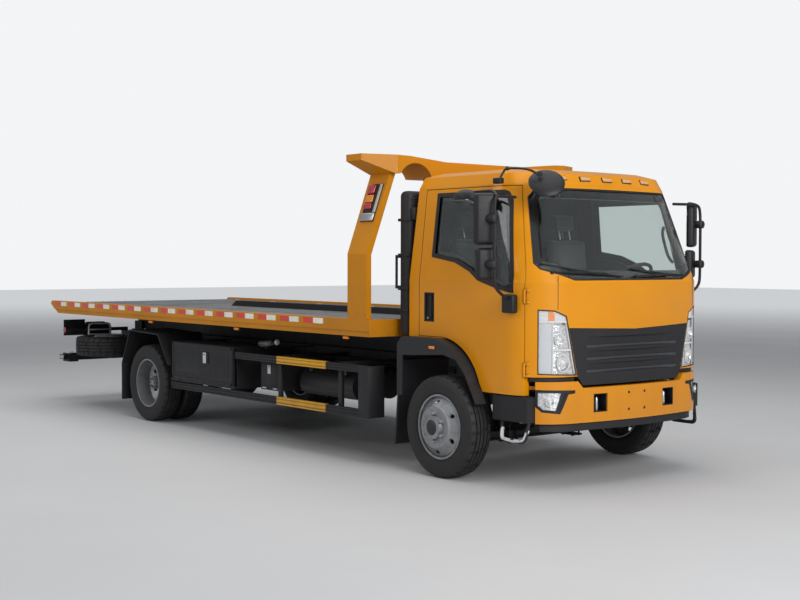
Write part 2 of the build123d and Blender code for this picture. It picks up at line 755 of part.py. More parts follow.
# Ladder frame: channels, cross-members, mounts of the cab and engine, and the pivots' brackets
crossmember_y = (-700, 760, 1700, 2700, 5000, 5560, 6560)
with BuildPart() as frame_rails:
    for side in (-1, 1):
        slab(sides(rail_inner_x, rail_half_width, side), (rail_front, rail_rear), (rail_bottom, rail_top))
        slab(sides(rail_inner_x - 1, rail_half_width - rail_thickness, side), (rail_front - 1, rail_rear + 1),
             (rail_bottom + rail_thickness, rail_top - rail_thickness), mode=Mode.SUBTRACT)
        slab(sides(rail_inner_x, rail_half_width, side), (bumper_rear, rail_front - running_gap),
             (rail_bottom - 80, rail_top - 60))
        slab(sides(rail_inner_x, rail_half_width, side), (bumper_bracket_y, bumper_rear - running_gap),
             (tow_hole_z + tow_hole_size / 2 + 5, bumper_top))
        slab(sides(rail_half_width + running_gap, 620, side), (-840, -790), (640, 680))
        slab(sides(engine_half_width, rail_half_width - rail_thickness - running_gap, side), (-80, 60), (700, 760))
        slab(sides(rail_inner_x, rail_half_width, side), (330, 430), (rail_top + running_gap, floor_z))
        slab(sides(rail_inner_x, rail_half_width, side), (-760, -660),
             (rail_top + running_gap, tunnel_top - floor_thickness))
        hinge_inner_x = rail_half_width - hinge_plate
        slab(sides(hinge_inner_x, rail_half_width, side), (tilt_hinge_y - 90, tilt_hinge_y + 90),
             (rail_top + running_gap, tilt_hinge_z + 50))
        with Locations(Location((side * (hinge_inner_x - running_gap + tilt_rail_x[0]) / 2,
                                 front_axle_y + tilt_hinge_y, tilt_hinge_z), (0, 90, 0))):
            Cylinder(tilt_pin_radius, hinge_inner_x - running_gap - tilt_rail_x[0])
        slab(sides(rail_inner_x, rail_half_width, side), (barrel_pivot_y - 150, barrel_pivot_y + 50),
             (barrel_pivot_z - 40, rail_bottom - running_gap))
    web_x = rail_half_width - rail_thickness - running_gap
    for y in crossmember_y:
        slab((-web_x, web_x), (y - 30, y + 30), (rail_bottom + 20, rail_bottom + 140))
    slab((-rail_inner_x + running_gap, rail_inner_x - running_gap), (barrel_pivot_y - 150, barrel_pivot_y - 90),
         (barrel_pivot_z - 40, rail_bottom + 20))
    for x in (-cylinder_x, cylinder_x):
        for side in (-1, 1):
            near, far = eye_half_width + running_gap, eye_half_width + running_gap + ear_thickness
            slab((x + side * near, x + side * far), (barrel_pivot_y - 90, barrel_pivot_y + 40),
                 (barrel_pivot_z - 40, barrel_pivot_z + 45))
        with Locations(Location((x, front_axle_y + barrel_pivot_y, barrel_pivot_z), (0, 90, 0))):
            Cylinder(eye_pin_radius, 2 * (eye_half_width + running_gap + ear_thickness))
    slab((-web_x, web_x), (lift_pivot_y - 50, lift_pivot_y + 50), (rail_bottom + 10, rail_bottom + 80))
    for side in (-1, 1):
        slab(sides(boom_half_width + running_gap, boom_half_width + running_gap + 20, side),
             (lift_pivot_y - 60, lift_pivot_y + 60), (lift_pivot_z - 50, rail_bottom + 10))
    with Locations(Location((0, front_axle_y + lift_pivot_y, lift_pivot_z), (0, 90, 0))):
        Cylinder(lift_pin_radius, 2 * (boom_half_width + running_gap + 20))
    slab((spare_x - 60, -rail_half_width), (spare_y - 220, spare_y - 180), (carrier_top - 22, carrier_top))
    slab((spare_x - 60, -rail_half_width), (spare_y + 180, spare_y + 220), (carrier_top - 22, carrier_top))
    slab((-rail_half_width, -rail_inner_x), (spare_y - 220, spare_y + 220),
         (carrier_top - 22, rail_bottom - running_gap))
    slab((spare_x - 100, spare_x - 60), (spare_y - 220, spare_y + 220), (carrier_top - 22, carrier_top))
frame_rails.part.label = "frame_rails"
export_step(frame_rails.part, "parts/frame_rails.step")

with BuildPart() as engine_block:
    slab((-engine_half_width, engine_half_width), (-560, 440), (500, 1150))
engine_block.part.label = "engine_block"
export_step(engine_block.part, "parts/engine_block.step")

# Front axle beam with its kingpin bosses
with BuildPart() as front_axle:
    with BuildSketch(cross_plane(beam_depth / 2)):
        with BuildLine():
            Polyline((-900, 440), (-900, 358), (-830, 358), (-720, beam_drop_z - beam_height / 2),
                     (720, beam_drop_z - beam_height / 2), (830, 358), (900, 358), (900, 440), (815, 440),
                     (700, beam_drop_z + beam_height / 2), (-700, beam_drop_z + beam_height / 2),
                     (-815, 440), (-900, 440))
        make_face()
    extrude(amount=beam_depth)
    for side in (-1, 1):
        for x in ((-300, 300), (430, 690), (-690, -430)):
            slab(x, (side * beam_depth / 2, side * (beam_depth / 2 - 26)), (beam_drop_z - 24, beam_drop_z + 24),
                 mode=Mode.SUBTRACT)
        with Locations((side * kingpin_x, front_axle_y, axle_z)):
            Cylinder(boss_radius, boss_height)
            Cylinder(kingpin_radius + running_gap, boss_height, mode=Mode.SUBTRACT)
front_axle.part.label = "front_axle"
export_step(front_axle.part, "parts/front_axle.step")

ear_low = axle_z - boss_height / 2 - running_gap
ear_high = axle_z + boss_height / 2 + running_gap
for name, side in (("knuckle_right", -1), ("knuckle_left", 1)):
    with BuildPart() as knuckle:
        for z in (ear_low - yoke_thickness / 2, ear_high + yoke_thickness / 2):
            with Locations((side * kingpin_x, front_axle_y, z)):
                Cylinder(boss_radius, yoke_thickness)
            slab(sides(kingpin_x, kingpin_x + 72, side), (-boss_radius, boss_radius),
                 (z - yoke_thickness / 2, z + yoke_thickness / 2))
        with Locations((side * kingpin_x, front_axle_y, axle_z)):
            Cylinder(kingpin_radius, boss_height + yoke_thickness)
        slab(sides(kingpin_x + 52, kingpin_x + 72, side), (-boss_radius, boss_radius),
             (ear_low - yoke_thickness, ear_high + yoke_thickness))
        with Locations(Location((side * (kingpin_x + 72 + spindle_length / 2), front_axle_y, axle_z), (0, 90, 0))):
            Cylinder(spindle_radius, spindle_length)
        arm_top = ear_low - 8
        arm_low = arm_top - 22
        with BuildSketch(level_plane(arm_low)):
            with BuildLine():
                Polyline((side * (kingpin_x - 26), 0), (side * (kingpin_x + 26), 0),
                         (side * (tie_rod_x + 20), tie_rod_y), (side * (tie_rod_x - 20), tie_rod_y), close=True)
            make_face()
        extrude(amount=arm_top - arm_low)
        with Locations((side * tie_rod_x, front_axle_y + tie_rod_y, (arm_low + arm_top) / 2)):
            Cylinder(22, arm_top - arm_low)
        with Locations((side * tie_rod_x, front_axle_y + tie_rod_y, (arm_low + arm_top) / 2 - 20)):
            Cylinder(tie_pin_radius, arm_top - arm_low + 30)
    knuckle.part.label = name
    export_step(knuckle.part, f"parts/{name}.step")

tie_eye_top = ear_low - 30 - running_gap
with BuildPart() as tie_rod:
    with Locations(Location((0, front_axle_y + tie_rod_y, tie_eye_top - 13), (0, 90, 0))):
        Cylinder(tie_rod_radius - 4, 2 * tie_rod_x)
    for side in (-1, 1):
        with Locations((side * tie_rod_x, front_axle_y + tie_rod_y, tie_eye_top - 13)):
            Cylinder(22, 26)
            Cylinder(tie_pin_radius + running_gap, 26, mode=Mode.SUBTRACT)
tie_rod.part.label = "tie_rod"
export_step(tie_rod.part, "parts/tie_rod.step")

# Driven axle with its casing, propeller shaft and brake backing plates
with BuildPart() as rear_axle:
    with Locations(Location((0, rear_axle_y, axle_z), (0, 90, 0))):
        Cylinder(60, 2 * 770)
        Cylinder(stub_radius, 2 * (hub_outer_x - 40))
        Cylinder(190, 150)
        Cylinder(150, 260)
    for side in (-1, 1):
        with Locations(Location((side * 775, rear_axle_y, axle_z), (0, 90, 0))):
            Cylinder(148, 12)
        slab(sides(spring_x[0], spring_x[1], side), (wheelbase - 55, wheelbase + 55), (axle_z, axle_z + 62))
    with BuildSketch(Plane(origin=(0, front_axle_y + 440 + running_gap, 560), z_dir=(0, 1, 0))):
        Circle(70)
    extrude(amount=60)
    with BuildSketch(Plane(origin=(0, front_axle_y + 470, 560),
                           z_dir=(0, wheelbase - 470, axle_z - 560))):
        Circle(45)
    extrude(amount=wheelbase - 600)
rear_axle.part.label = "rear_axle"
export_step(rear_axle.part, "parts/rear_axle.step")

# Leaf springs with their hangers: axle station, height of the seat
spring_table = [(0, beam_drop_z + beam_height / 2), (wheelbase, axle_z + 62)]
with BuildPart() as leaf_springs:
    for station, seat in spring_table:
        for side in (-1, 1):
            leaf = spring_thickness / 4
            reach = spring_half_length
            steps = [(station + reach, seat + spring_rise + 3 * leaf)]
            for count, share in ((3, 0.75), (2, 0.55), (1, 0.35)):
                height = seat + spring_rise * share * share
                steps += [(station + reach * share, height + count * leaf),
                          (station + reach * share, height + (count - 1) * leaf)]
            steps += [(station + 60, seat)]
            front_steps = [(2 * station - y, z) for y, z in reversed(steps)]
            with BuildSketch(side_plane(side * spring_x[0])):
                with BuildLine():
                    Polyline(*steps, *front_steps)
                    Line(front_steps[-1], (station - reach, seat + spring_rise + 4 * leaf))
                    ThreePointArc((station - reach, seat + spring_rise + 4 * leaf), (station, seat + 4 * leaf),
                                  (station + reach, seat + spring_rise + 4 * leaf))
                    Line((station + reach, seat + spring_rise + 4 * leaf), steps[0])
                make_face()
            extrude(amount=side * spring_width)
            for end in (-1, 1):
                slab(sides(spring_x[0], spring_x[1], side),
                     (station + end * (reach - 20), station + end * (reach + 25)),
                     (seat + spring_rise + 2 * leaf, rail_bottom))
leaf_springs.part.label = "leaf_springs"
export_step(leaf_springs.part, "parts/leaf_springs.step")

# Front tyre and rear twin tyres share one section: across, radius
tyre_section = [(-84.5, 250.3), (-84.5, 259), (-100, 266), (-113, 318), (-109, 372), (-92, 399), (-70, tyre_radius),
                (70, tyre_radius), (92, 399), (109, 372), (113, 318), (100, 266), (84.5, 259), (84.5, 250.3)]
with BuildPart() as tyre_ring:
    with BuildSketch(Plane.XY):
        with BuildLine():
            Polyline(*tyre_section, close=True)
        make_face()
    revolve(axis=Axis.X)

# Steel wheel with its hub, the dished side towards +X: across, radius
front_rim_section = [(-94, 241), (-94, 257), (-85, 257), (-85, bead_radius), (85, bead_radius), (85, 257),
                     (94, 257), (94, 241), (72, rim_well_radius), (100, 205), (128, 175), (140, 165), (140, 96),
                     (168, 92), (172, 60), (150, 55), (150, 0), (96, 0), (96, spindle_radius + running_gap),
                     (-30, spindle_radius + running_gap), (-30, 70), (-8, 76), (-8, 150), (-48, 150), (-48, 170),
                     (28, 170), (28, 105), (126, 105), (126, 160), (116, 167), (88, 195), (58, rim_well_radius)]
with BuildPart() as front_rim_form:
    with BuildSketch(Plane.XY):
        with BuildLine():
            Polyline(*front_rim_section, close=True)
        make_face()
    revolve(axis=Axis.X)
    for angle in range(0, 360, 60):
        with Locations(Rotation(angle + 30, 0, 0)):
            with Locations(Location((134, stud_circle / 2, 0), (0, 90, 0))):
                Cylinder(15, 34)
            with Locations(Location((100, 196, 0), (0, 60, 90))):
                Cylinder(17, 60, mode=Mode.SUBTRACT)

disc_x = dual_spacing / 2
rear_outer_section = [(-94, 241), (-94, 257), (-85, 257), (-85, bead_radius), (85, bead_radius), (85, 257),
                      (94, 257), (94, 241), (-58, rim_well_radius), (-88, 195), (-114, 168), (-114, 60),
                      (-disc_x, 60), (-disc_x, 174), (-103, 203), (-72, rim_well_radius)]
with BuildPart() as rear_rim_form:
    with BuildSketch(Plane.XY):
        with BuildLine():
            Polyline(*rear_outer_section, close=True)
        make_face()
    revolve(axis=Axis.X)
    for angle in range(0, 360, 60):
        with Locations(Rotation(angle + 30, 0, 0)):
            with Locations(Location((-93, 196, 0), (0, 120, 90))):
                Cylinder(17, 60, mode=Mode.SUBTRACT)

# Hub and drum of the twin wheels, measured from the face between the two discs
rear_hub_section = [(-disc_x - 50, stub_radius + running_gap), (hub_reach - 30, stub_radius + running_gap),
                    (hub_reach - 30, 0), (hub_reach, 0), (hub_reach, 62), (20, 88), (-62, 88), (-62, 150),
                    (-56, 205), (-180, 205), (-180, 190), (-76, 190), (-76, 75), (-disc_x - 50, 75)]
front_centre_x = front_tyre_outer_x - tyre_width / 2
outer_centre_x = rear_tyre_outer_x - tyre_width / 2
inner_centre_x = outer_centre_x - dual_spacing
with BuildPart() as rear_hub_form:
    with BuildSketch(Plane.XY):
        with BuildLine():
            Polyline(*rear_hub_section, close=True)
        make_face()
    revolve(axis=Axis.X)
    for angle in range(0, 360, 60):
        with Locations(Rotation(angle, 0, 0)):
            with Locations(Location((0, stud_circle / 2, 0), (0, 90, 0))):
                Cylinder(14, 76)
                Cylinder(10, 130)

for word, side in (("right", -1), ("left", 1)):
    turn = (0, 0, 0) if side > 0 else (0, 0, 180)
    with BuildPart() as front_tyre:
        with Locations(Location((side * front_centre_x, front_axle_y, axle_z), turn)):
            add(tyre_ring.part)
    front_tyre.part.label = f"front_tyre_{word}"
    export_step(front_tyre.part, f"parts/front_tyre_{word}.step")
    with BuildPart() as front_rim:
        with Locations(Location((side * front_centre_x, front_axle_y, axle_z), turn)):
            add(front_rim_form.part)
    front_rim.part.label = f"front_rim_{word}"
    export_step(front_rim.part, f"parts/front_rim_{word}.step")
    with BuildPart() as rear_tyres:
        for x in (outer_centre_x, inner_centre_x):
            with Locations(Location((side * x, rear_axle_y, axle_z), turn)):
                add(tyre_ring.part)
    rear_tyres.part.label = f"rear_tyres_{word}"
    export_step(rear_tyres.part, f"parts/rear_tyres_{word}.step")
    with BuildPart() as rear_rims:
        with Locations(Location((side * outer_centre_x, rear_axle_y, axle_z), turn)):
            add(rear_rim_form.part)
        with Locations(Location((side * inner_centre_x, rear_axle_y, axle_z), (0, 0, 180 - turn[2]))):
            add(rear_rim_form.part)
        with Locations(Location((side * (outer_centre_x - disc_x), rear_axle_y, axle_z), turn)):
            add(rear_hub_form.part)
    rear_rims.part.label = f"rear_rims_{word}"
    export_step(rear_rims.part, f"parts/rear_rims_{word}.step")

# Spare wheel lying flat on its carrier behind the right rear wheels
with BuildPart() as spare_tyre:
    with Locations(Location((spare_x, front_axle_y + spare_y, spare_z), (0, -90, 0))):
        add(tyre_ring.part)
spare_tyre.part.label = "spare_tyre"
export_step(spare_tyre.part, "parts/spare_tyre.step")
with BuildPart() as spare_rim:
    with Locations(Location((spare_x, front_axle_y + spare_y, spare_z), (0, 90, 0))):
        add(rear_rim_form.part)
    for angle in range(0, 360, 60):
        with Locations(Location((spare_x, front_axle_y + spare_y, spare_z + disc_x - 7), (0, 0, angle))):
            with Locations((stud_circle / 2, 0, 0)):
                Cylinder(stud_hole_radius, 60, mode=Mode.SUBTRACT)
spare_rim.part.label = "spare_rim"
export_step(spare_rim.part, "parts/spare_rim.step")

# Fuel tank on the left, air tanks on the right, their straps reaching the frame
with BuildPart() as tanks:
    with BuildSketch(side_plane(tank_x[0])):
        with Locations(((tank_y[0] + tank_y[1]) / 2, 640)):
            RectangleRounded(tank_y[1] - tank_y[0], 430, 90)
    extrude(amount=tank_x[1] - tank_x[0])
    for y in (tank_y[0] + 150, tank_y[1] - 150):
        slab((rail_half_width, tank_x[0]), (y - 30, y + 30), (700, 840))
    for x, z in ((-560, 600), (-860, 600)):
        with Locations(Location((x, front_axle_y + (tank_y[0] + tank_y[1]) / 2, z), (90, 0, 0))):
            Cylinder(120, tank_y[1] - tank_y[0])
    for y in (tank_y[0] + 150, tank_y[1] - 150):
        slab((-960, -rail_half_width), (y - 30, y + 30), (700, 750))
tanks.part.label = "tanks"
export_step(tanks.part, "parts/tanks.step")

# Side guards: two rails on posts, a folded plate at the front
with BuildPart() as side_guards:
    for side in (-1, 1):
        face = sides(guard_face_x - guard_depth, guard_face_x, side)
        slab(face, (guard_front, box_front_y - 10), guard_upper_z)
        slab(face, (guard_front, box_rear_y), guard_lower_z)
        slab(face, (guard_front, guard_front + 150), (guard_lower_z[0], guard_upper_z[1]))
        slab(sides(guard_face_x - 170, guard_face_x, side), (guard_front, guard_front + 12),
             (guard_lower_z[0], guard_upper_z[1]))
        for y in guard_posts:
            slab(sides(guard_face_x - guard_depth - 30, guard_face_x - guard_depth, side), (y - 25, y + 25),
                 (guard_lower_z[0] + 10, guard_upper_z[1]))
            slab(sides(rail_half_width, guard_face_x - guard_depth - 30, side), (y - 20, y + 20),
                 (guard_upper_z[1] - 30, guard_upper_z[1] + 5))
side_guards.part.label = "side_guards"
export_step(side_guards.part, "parts/side_guards.step")

# Toolboxes: open-fronted cases, each with a drop-down lid, and a small case on the right
with BuildPart() as toolboxes:
    for side in (-1, 1):
        slab(sides(box_inner_x, box_outer_x, side), (box_front_y, box_rear_y), (box_bottom, box_top))
        slab(sides(box_inner_x + box_wall, box_outer_x + 1, side), (box_front_y + box_wall, box_rear_y - box_wall),
             (box_bottom + box_wall, box_top - box_wall), mode=Mode.SUBTRACT)
        for y in (box_front_y, box_rear_y - ear_thickness):
            slab(sides(box_outer_x - 30, guard_face_x, side), (y, y + ear_thickness),
                 (lid_hinge_z - 12, lid_hinge_z + 12))
            with Locations(Location((side * lid_hinge_x, front_axle_y + y + ear_thickness / 2, lid_hinge_z),
                                    (90, 0, 0))):
                Cylinder(lid_pin_radius + running_gap, ear_thickness, mode=Mode.SUBTRACT)
        for y in (box_front_y + 200, box_rear_y - 200):
            slab(sides(rail_half_width, box_inner_x, side), (y - 20, y + 20), (760, 840))
    slab((-1120, -860), (2277, 2585), (503, 779))
    slab((-860, -rail_half_width), (2400, 2440), (720, 770))
toolboxes.part.label = "toolboxes"
export_step(toolboxes.part, "parts/toolboxes.step")

for word, side in (("right", -1), ("left", 1)):
    with BuildPart() as toolbox_lid:
        slab(sides(guard_face_x - lid_thickness, guard_face_x, side),
             (box_front_y + ear_thickness + 5, box_rear_y - ear_thickness - 5), (lid_hinge_z - 12, box_top))
        with Locations(Location((side * lid_hinge_x, front_axle_y + (box_front_y + box_rear_y) / 2, lid_hinge_z),
                                (90, 0, 0))):
            Cylinder(lid_pin_radius, box_rear_y - box_front_y)
        slab(sides(guard_face_x, guard_face_x + 12, side), (latch_y - 60, latch_y + 60), (690, 800))
    toolbox_lid.part.label = f"toolbox_lid_{word}"
    export_step(toolbox_lid.part, f"parts/toolbox_lid_{word}.step")

# Folded plates over the twin wheels with their flaps
with BuildPart() as rear_mudguards:
    for side in (-1, 1):
        with BuildSketch(side_plane(side * 720)):
            with BuildLine():
                Polyline((4180, 630), (4416, 940), (5050, 960), (5235, 590), (5235, 190), (5223, 190), (5223, 586),
                         (5043, 948), (4422, 928), (4190, 624), close=True)
            make_face()
        extrude(amount=side * 510)
        for y in (4450, 5000):
            slab(sides(rail_half_width, 720, side), (y - 20, y + 20), (rail_top - 60, rail_top - 20))
            slab(sides(700, 740, side), (y - 20, y + 20), (rail_top - 60, 945))
rear_mudguards.part.label = "rear_mudguards"
export_step(rear_mudguards.part, "parts/rear_mudguards.step")

# Tail lamps in their guards on a cross-bar, with black plates at its ends
with BuildPart() as rear_lamps:
    slab((-rail_half_width, rail_half_width), (lamp_bar_y, lamp_bar_y + 50), (735, 785))
    for side in (-1, 1):
        slab(sides(rail_inner_x, rail_half_width, side), (rail_rear, lamp_bar_y), (rail_bottom + 20, 850))
        slab(sides(rail_inner_x, rail_half_width, side), (lamp_bar_y, lamp_bar_y + 50), (rail_bottom + 20, 890))
        slab(sides(rail_inner_x, lamp_bar_half, side), (lamp_bar_y, lamp_bar_y + 50), (850, 890))
        slab(sides(880, lamp_bar_half, side), (lamp_bar_y + 50, lamp_bar_y + 62), (805, 995))
        with BuildSketch(cross_plane(lamp_bar_y + 90)):
            with Locations((side * 735, 817)):
                RectangleRounded(290, 290, 50)
        extrude(amount=40)
        slab(sides(600, 860, side), (lamp_bar_y - 40, lamp_bar_y + 52), (700, 945))
rear_lamps.part.label = "rear_lamps"
export_step(rear_lamps.part, "parts/rear_lamps.step")

# Tilting sub-frame that carries the sliding bed, with the barrel of the slide cylinder
cross_beams = [(1000, rail_top + 10), (1900, rail_top + 10), (2800, rail_top + 10), (3700, rail_top + 10),
               (5450, rail_top - 30), (6100, rail_top - 30)]
beam_end_x = tilt_rail_x[0] - running_gap
with BuildPart() as tilt_frame:
    for side in (-1, 1):
        with BuildSketch(side_plane(side * tilt_rail_x[0])):
            with BuildLine():
                Polyline((tilt_front, rail_top + moving_gap), (tilt_hinge_y - 20, rail_top + moving_gap),
                         (tilt_hinge_y + 60, tilt_hinge_z), (tilt_hinge_y + 60, tilt_rail_top),
                         (tilt_front, tilt_rail_top), close=True)
            make_face()
        extrude(amount=side * (tilt_rail_x[1] - tilt_rail_x[0]))
        with Locations(Location((side * (tilt_rail_x[0] + tilt_rail_x[1]) / 2, front_axle_y + tilt_hinge_y,
                                 tilt_hinge_z), (0, 90, 0))):
            Cylinder(tilt_pin_radius + running_gap, tilt_rail_x[1] - tilt_rail_x[0], mode=Mode.SUBTRACT)
    for y, low_z in cross_beams:
        slab((-beam_end_x, beam_end_x), (y - 35, y + 35), (low_z, tilt_rail_top - 5))
    slab((-beam_end_x, beam_end_x), (rod_eye_y - 45, rod_eye_y + 45),
         (rod_eye_z + eye_radius + 5, tilt_rail_top - 5))
    for x in (-cylinder_x, cylinder_x):
        for side in (-1, 1):
            near, far = eye_half_width + running_gap, eye_half_width + running_gap + ear_thickness
            slab((x + side * near, x + side * far), (rod_eye_y - 45, rod_eye_y + 45),
                 (rod_eye_z - 40, rod_eye_z + eye_radius + 5 - running_gap))
    slide_mid_y = front_axle_y + (slide_barrel_y[0] + slide_barrel_y[1]) / 2
    with Locations(Location((0, slide_mid_y, slide_z), (90, 0, 0))):
        Cylinder(slide_barrel_radius, slide_barrel_y[1] - slide_barrel_y[0])
    with Locations(Location((0, slide_mid_y + 20, slide_z), (90, 0, 0))):
        Cylinder(slide_rod_radius + running_gap, slide_barrel_y[1] - slide_barrel_y[0] - 20, mode=Mode.SUBTRACT)
    slab((-slide_lug_half - moving_gap, slide_lug_half + moving_gap), (slide_barrel_y[1], tilt_hinge_y),
         (slide_z - slide_lug_drop - moving_gap, tilt_rail_top), mode=Mode.SUBTRACT)
tilt_frame.part.label = "tilt_frame"
export_step(tilt_frame.part, "parts/tilt_frame.step")

# Tilt cylinders leaning from the frame up to the sub-frame
rod_reach = hypot(rod_eye_y - barrel_pivot_y, rod_eye_z - barrel_pivot_z)
cylinder_direction = (0, rod_eye_y - barrel_pivot_y, rod_eye_z - barrel_pivot_z)
with BuildPart() as tilt_barrels:
    for x in (-cylinder_x, cylinder_x):
        pivot = (x, front_axle_y + barrel_pivot_y, barrel_pivot_z)
        with Locations(Location(pivot, (0, 90, 0))):
            Cylinder(eye_radius, 2 * eye_half_width)
        with BuildSketch(Plane(origin=pivot, x_dir=(1, 0, 0), z_dir=cylinder_direction)):
            Rectangle(2 * eye_half_width, 2 * eye_radius - 12)
        extrude(amount=75)
        base = Plane(origin=pivot, x_dir=(1, 0, 0), z_dir=cylinder_direction).offset(70)
        with BuildSketch(base):
            Circle(barrel_radius)
        extrude(amount=barrel_length - 70)
        with BuildSketch(base.offset(30)):
            Circle(rod_radius + running_gap)
        extrude(amount=barrel_length, mode=Mode.SUBTRACT)
        with Locations(Location(pivot, (0, 90, 0))):
            Cylinder(eye_pin_radius + running_gap, 2 * eye_half_width, mode=Mode.SUBTRACT)
tilt_barrels.part.label = "tilt_barrels"
export_step(tilt_barrels.part, "parts/tilt_barrels.step")

with BuildPart() as tilt_rods:
    for x in (-cylinder_x, cylinder_x):
        pivot = (x, front_axle_y + barrel_pivot_y, barrel_pivot_z)
        with BuildSketch(Plane(origin=pivot, x_dir=(1, 0, 0), z_dir=cylinder_direction).offset(rod_start)):
            Circle(rod_radius)
        extrude(amount=rod_reach - rod_start)
        with Locations(Location((x, front_axle_y + rod_eye_y, rod_eye_z), (0, 90, 0))):
            Cylinder(eye_radius - 2, 2 * eye_half_width)
tilt_rods.part.label = "tilt_rods"
export_step(tilt_rods.part, "parts/tilt_rods.step")

# Bed: long beams on the sub-frame, cross-bearers and the slide rod's bracket
bearer_step = 420
bearer_count = 15
with BuildPart() as bed_frame:
    for side in (-1, 1):
        slab(sides(tilt_rail_x[0], tilt_rail_x[1], side), (bed_front + bed_front_plate, bed_rear - 20),
             (tilt_rail_top + moving_gap, bearer_bottom))
        slab(sides(tilt_rail_x[1] + moving_gap, tilt_rail_x[1] + moving_gap + 12, side), (guide_y[0], guide_y[1]),
             (tilt_rail_top - 40, bearer_bottom))
        slab(sides(tilt_rail_x[1] + running_gap, tilt_rail_x[1] + moving_gap + 12, side), (guide_y[0], guide_y[1]),
             (tilt_rail_top + moving_gap, bearer_bottom))
    for count in range(bearer_count):
        y = bed_front + 60 + count * bearer_step
        slab((-bed_half_width + bed_rail_width, bed_half_width - bed_rail_width), (y, y + bearer_depth),
             (bearer_bottom + running_gap, deck_top - deck_thickness))
    lug_beam_z = tilt_rail_top + 50
    slab((-slide_lug_half, slide_lug_half), (slide_lug_y, slide_lug_y + 30),
         (slide_z - slide_lug_drop, lug_beam_z - running_gap))
    slab((-beam_end_x, beam_end_x), (slide_lug_y, slide_lug_y + 60), (lug_beam_z, bearer_bottom))
    slab((-bed_half_width + bed_rail_width, bed_half_width - bed_rail_width), (bed_rear - 60, bed_rear - 20),
         (bearer_bottom + running_gap, deck_top - deck_thickness))
    rod_front = slide_barrel_y[0] + 80
    rod_rear = slide_lug_y - running_gap
    with Locations(Location((0, front_axle_y + (rod_front + rod_rear) / 2, slide_z), (90, 0, 0))):
        Cylinder(slide_rod_radius, rod_rear - rod_front)
bed_frame.part.label = "bed_frame"
export_step(bed_frame.part, "parts/bed_frame.step")

with BuildPart() as bed_deck:
    for front, rear in ((bed_front + bed_front_plate, deck_seam_y), (deck_seam_y + running_gap, bed_rear)):
        slab((-bed_half_width + bed_rail_width, bed_half_width - bed_rail_width), (front, rear),
             (deck_top - deck_thickness, deck_top))
bed_deck.part.label = "bed_deck"
export_step(bed_deck.part, "parts/bed_deck.step")

# Painted side rails, their tails tapered and rounded, and the plate across the bed's front
with BuildPart() as bed_rails:
    front_plate_x = bed_half_width - bed_rail_width - running_gap
    slab((-front_plate_x, front_plate_x), (bed_front, bed_front + bed_front_plate), (bed_rail_bottom, bed_rail_top))
    for side in (-1, 1):
        with BuildSketch(side_plane(side * (bed_half_width - bed_rail_width))):
            with BuildLine():
                Polyline((bed_front, bed_rail_bottom), (bed_front, bed_rail_top), (bed_rear - 40, bed_rail_top))
                ThreePointArc((bed_rear - 40, bed_rail_top), (bed_rear - 12, bed_rail_top - 12),
                              (bed_rear, bed_rail_top - 40))
                Polyline((bed_rear, bed_rail_top - 40), (bed_rear - 180, bed_rail_bottom),
                         (bed_front, bed_rail_bottom))
            make_face()
        extrude(amount=side * bed_rail_width)
        with BuildSketch(side_plane(side * (bed_half_width + 1))):
            with BuildLine():
                Polyline((bed_front - 1, bed_rail_bottom + 45), (bed_rear + 1, bed_rail_bottom + 45),
                         (bed_rear + 1, bed_rail_bottom - 1), (bed_front - 1, bed_rail_bottom - 1), close=True)
            make_face()
        extrude(amount=-side * 9, mode=Mode.SUBTRACT)
bed_rails.part.label = "bed_rails"
export_step(bed_rails.part, "parts/bed_rails.step")

# Marker lamps under the side rails and lamp clusters on the headboard's posts
with BuildPart() as bed_lamps:
    for side in (-1, 1):
        for y in (4574, 2859, 1099):
            slab(sides(bed_half_width - 45, bed_half_width - 15, side), (y - 40, y + 40),
                 (bed_rail_bottom - 32, bed_rail_bottom))
        with BuildSketch(cross_plane(cluster_y[1])):
            with BuildLine():
                Polyline((side * post_face_x(cluster_z[0]), cluster_z[0]),
                         (side * (post_face_x(cluster_z[0]) + cluster_depth), cluster_z[0]),
                         (side * (post_face_x(cluster_z[1]) + cluster_depth), cluster_z[1]),
                         (side * post_face_x(cluster_z[1]), cluster_z[1]), close=True)
            make_face()
        extrude(amount=cluster_y[1] - cluster_y[0])
bed_lamps.part.label = "bed_lamps"
export_step(bed_lamps.part, "parts/bed_lamps.step")

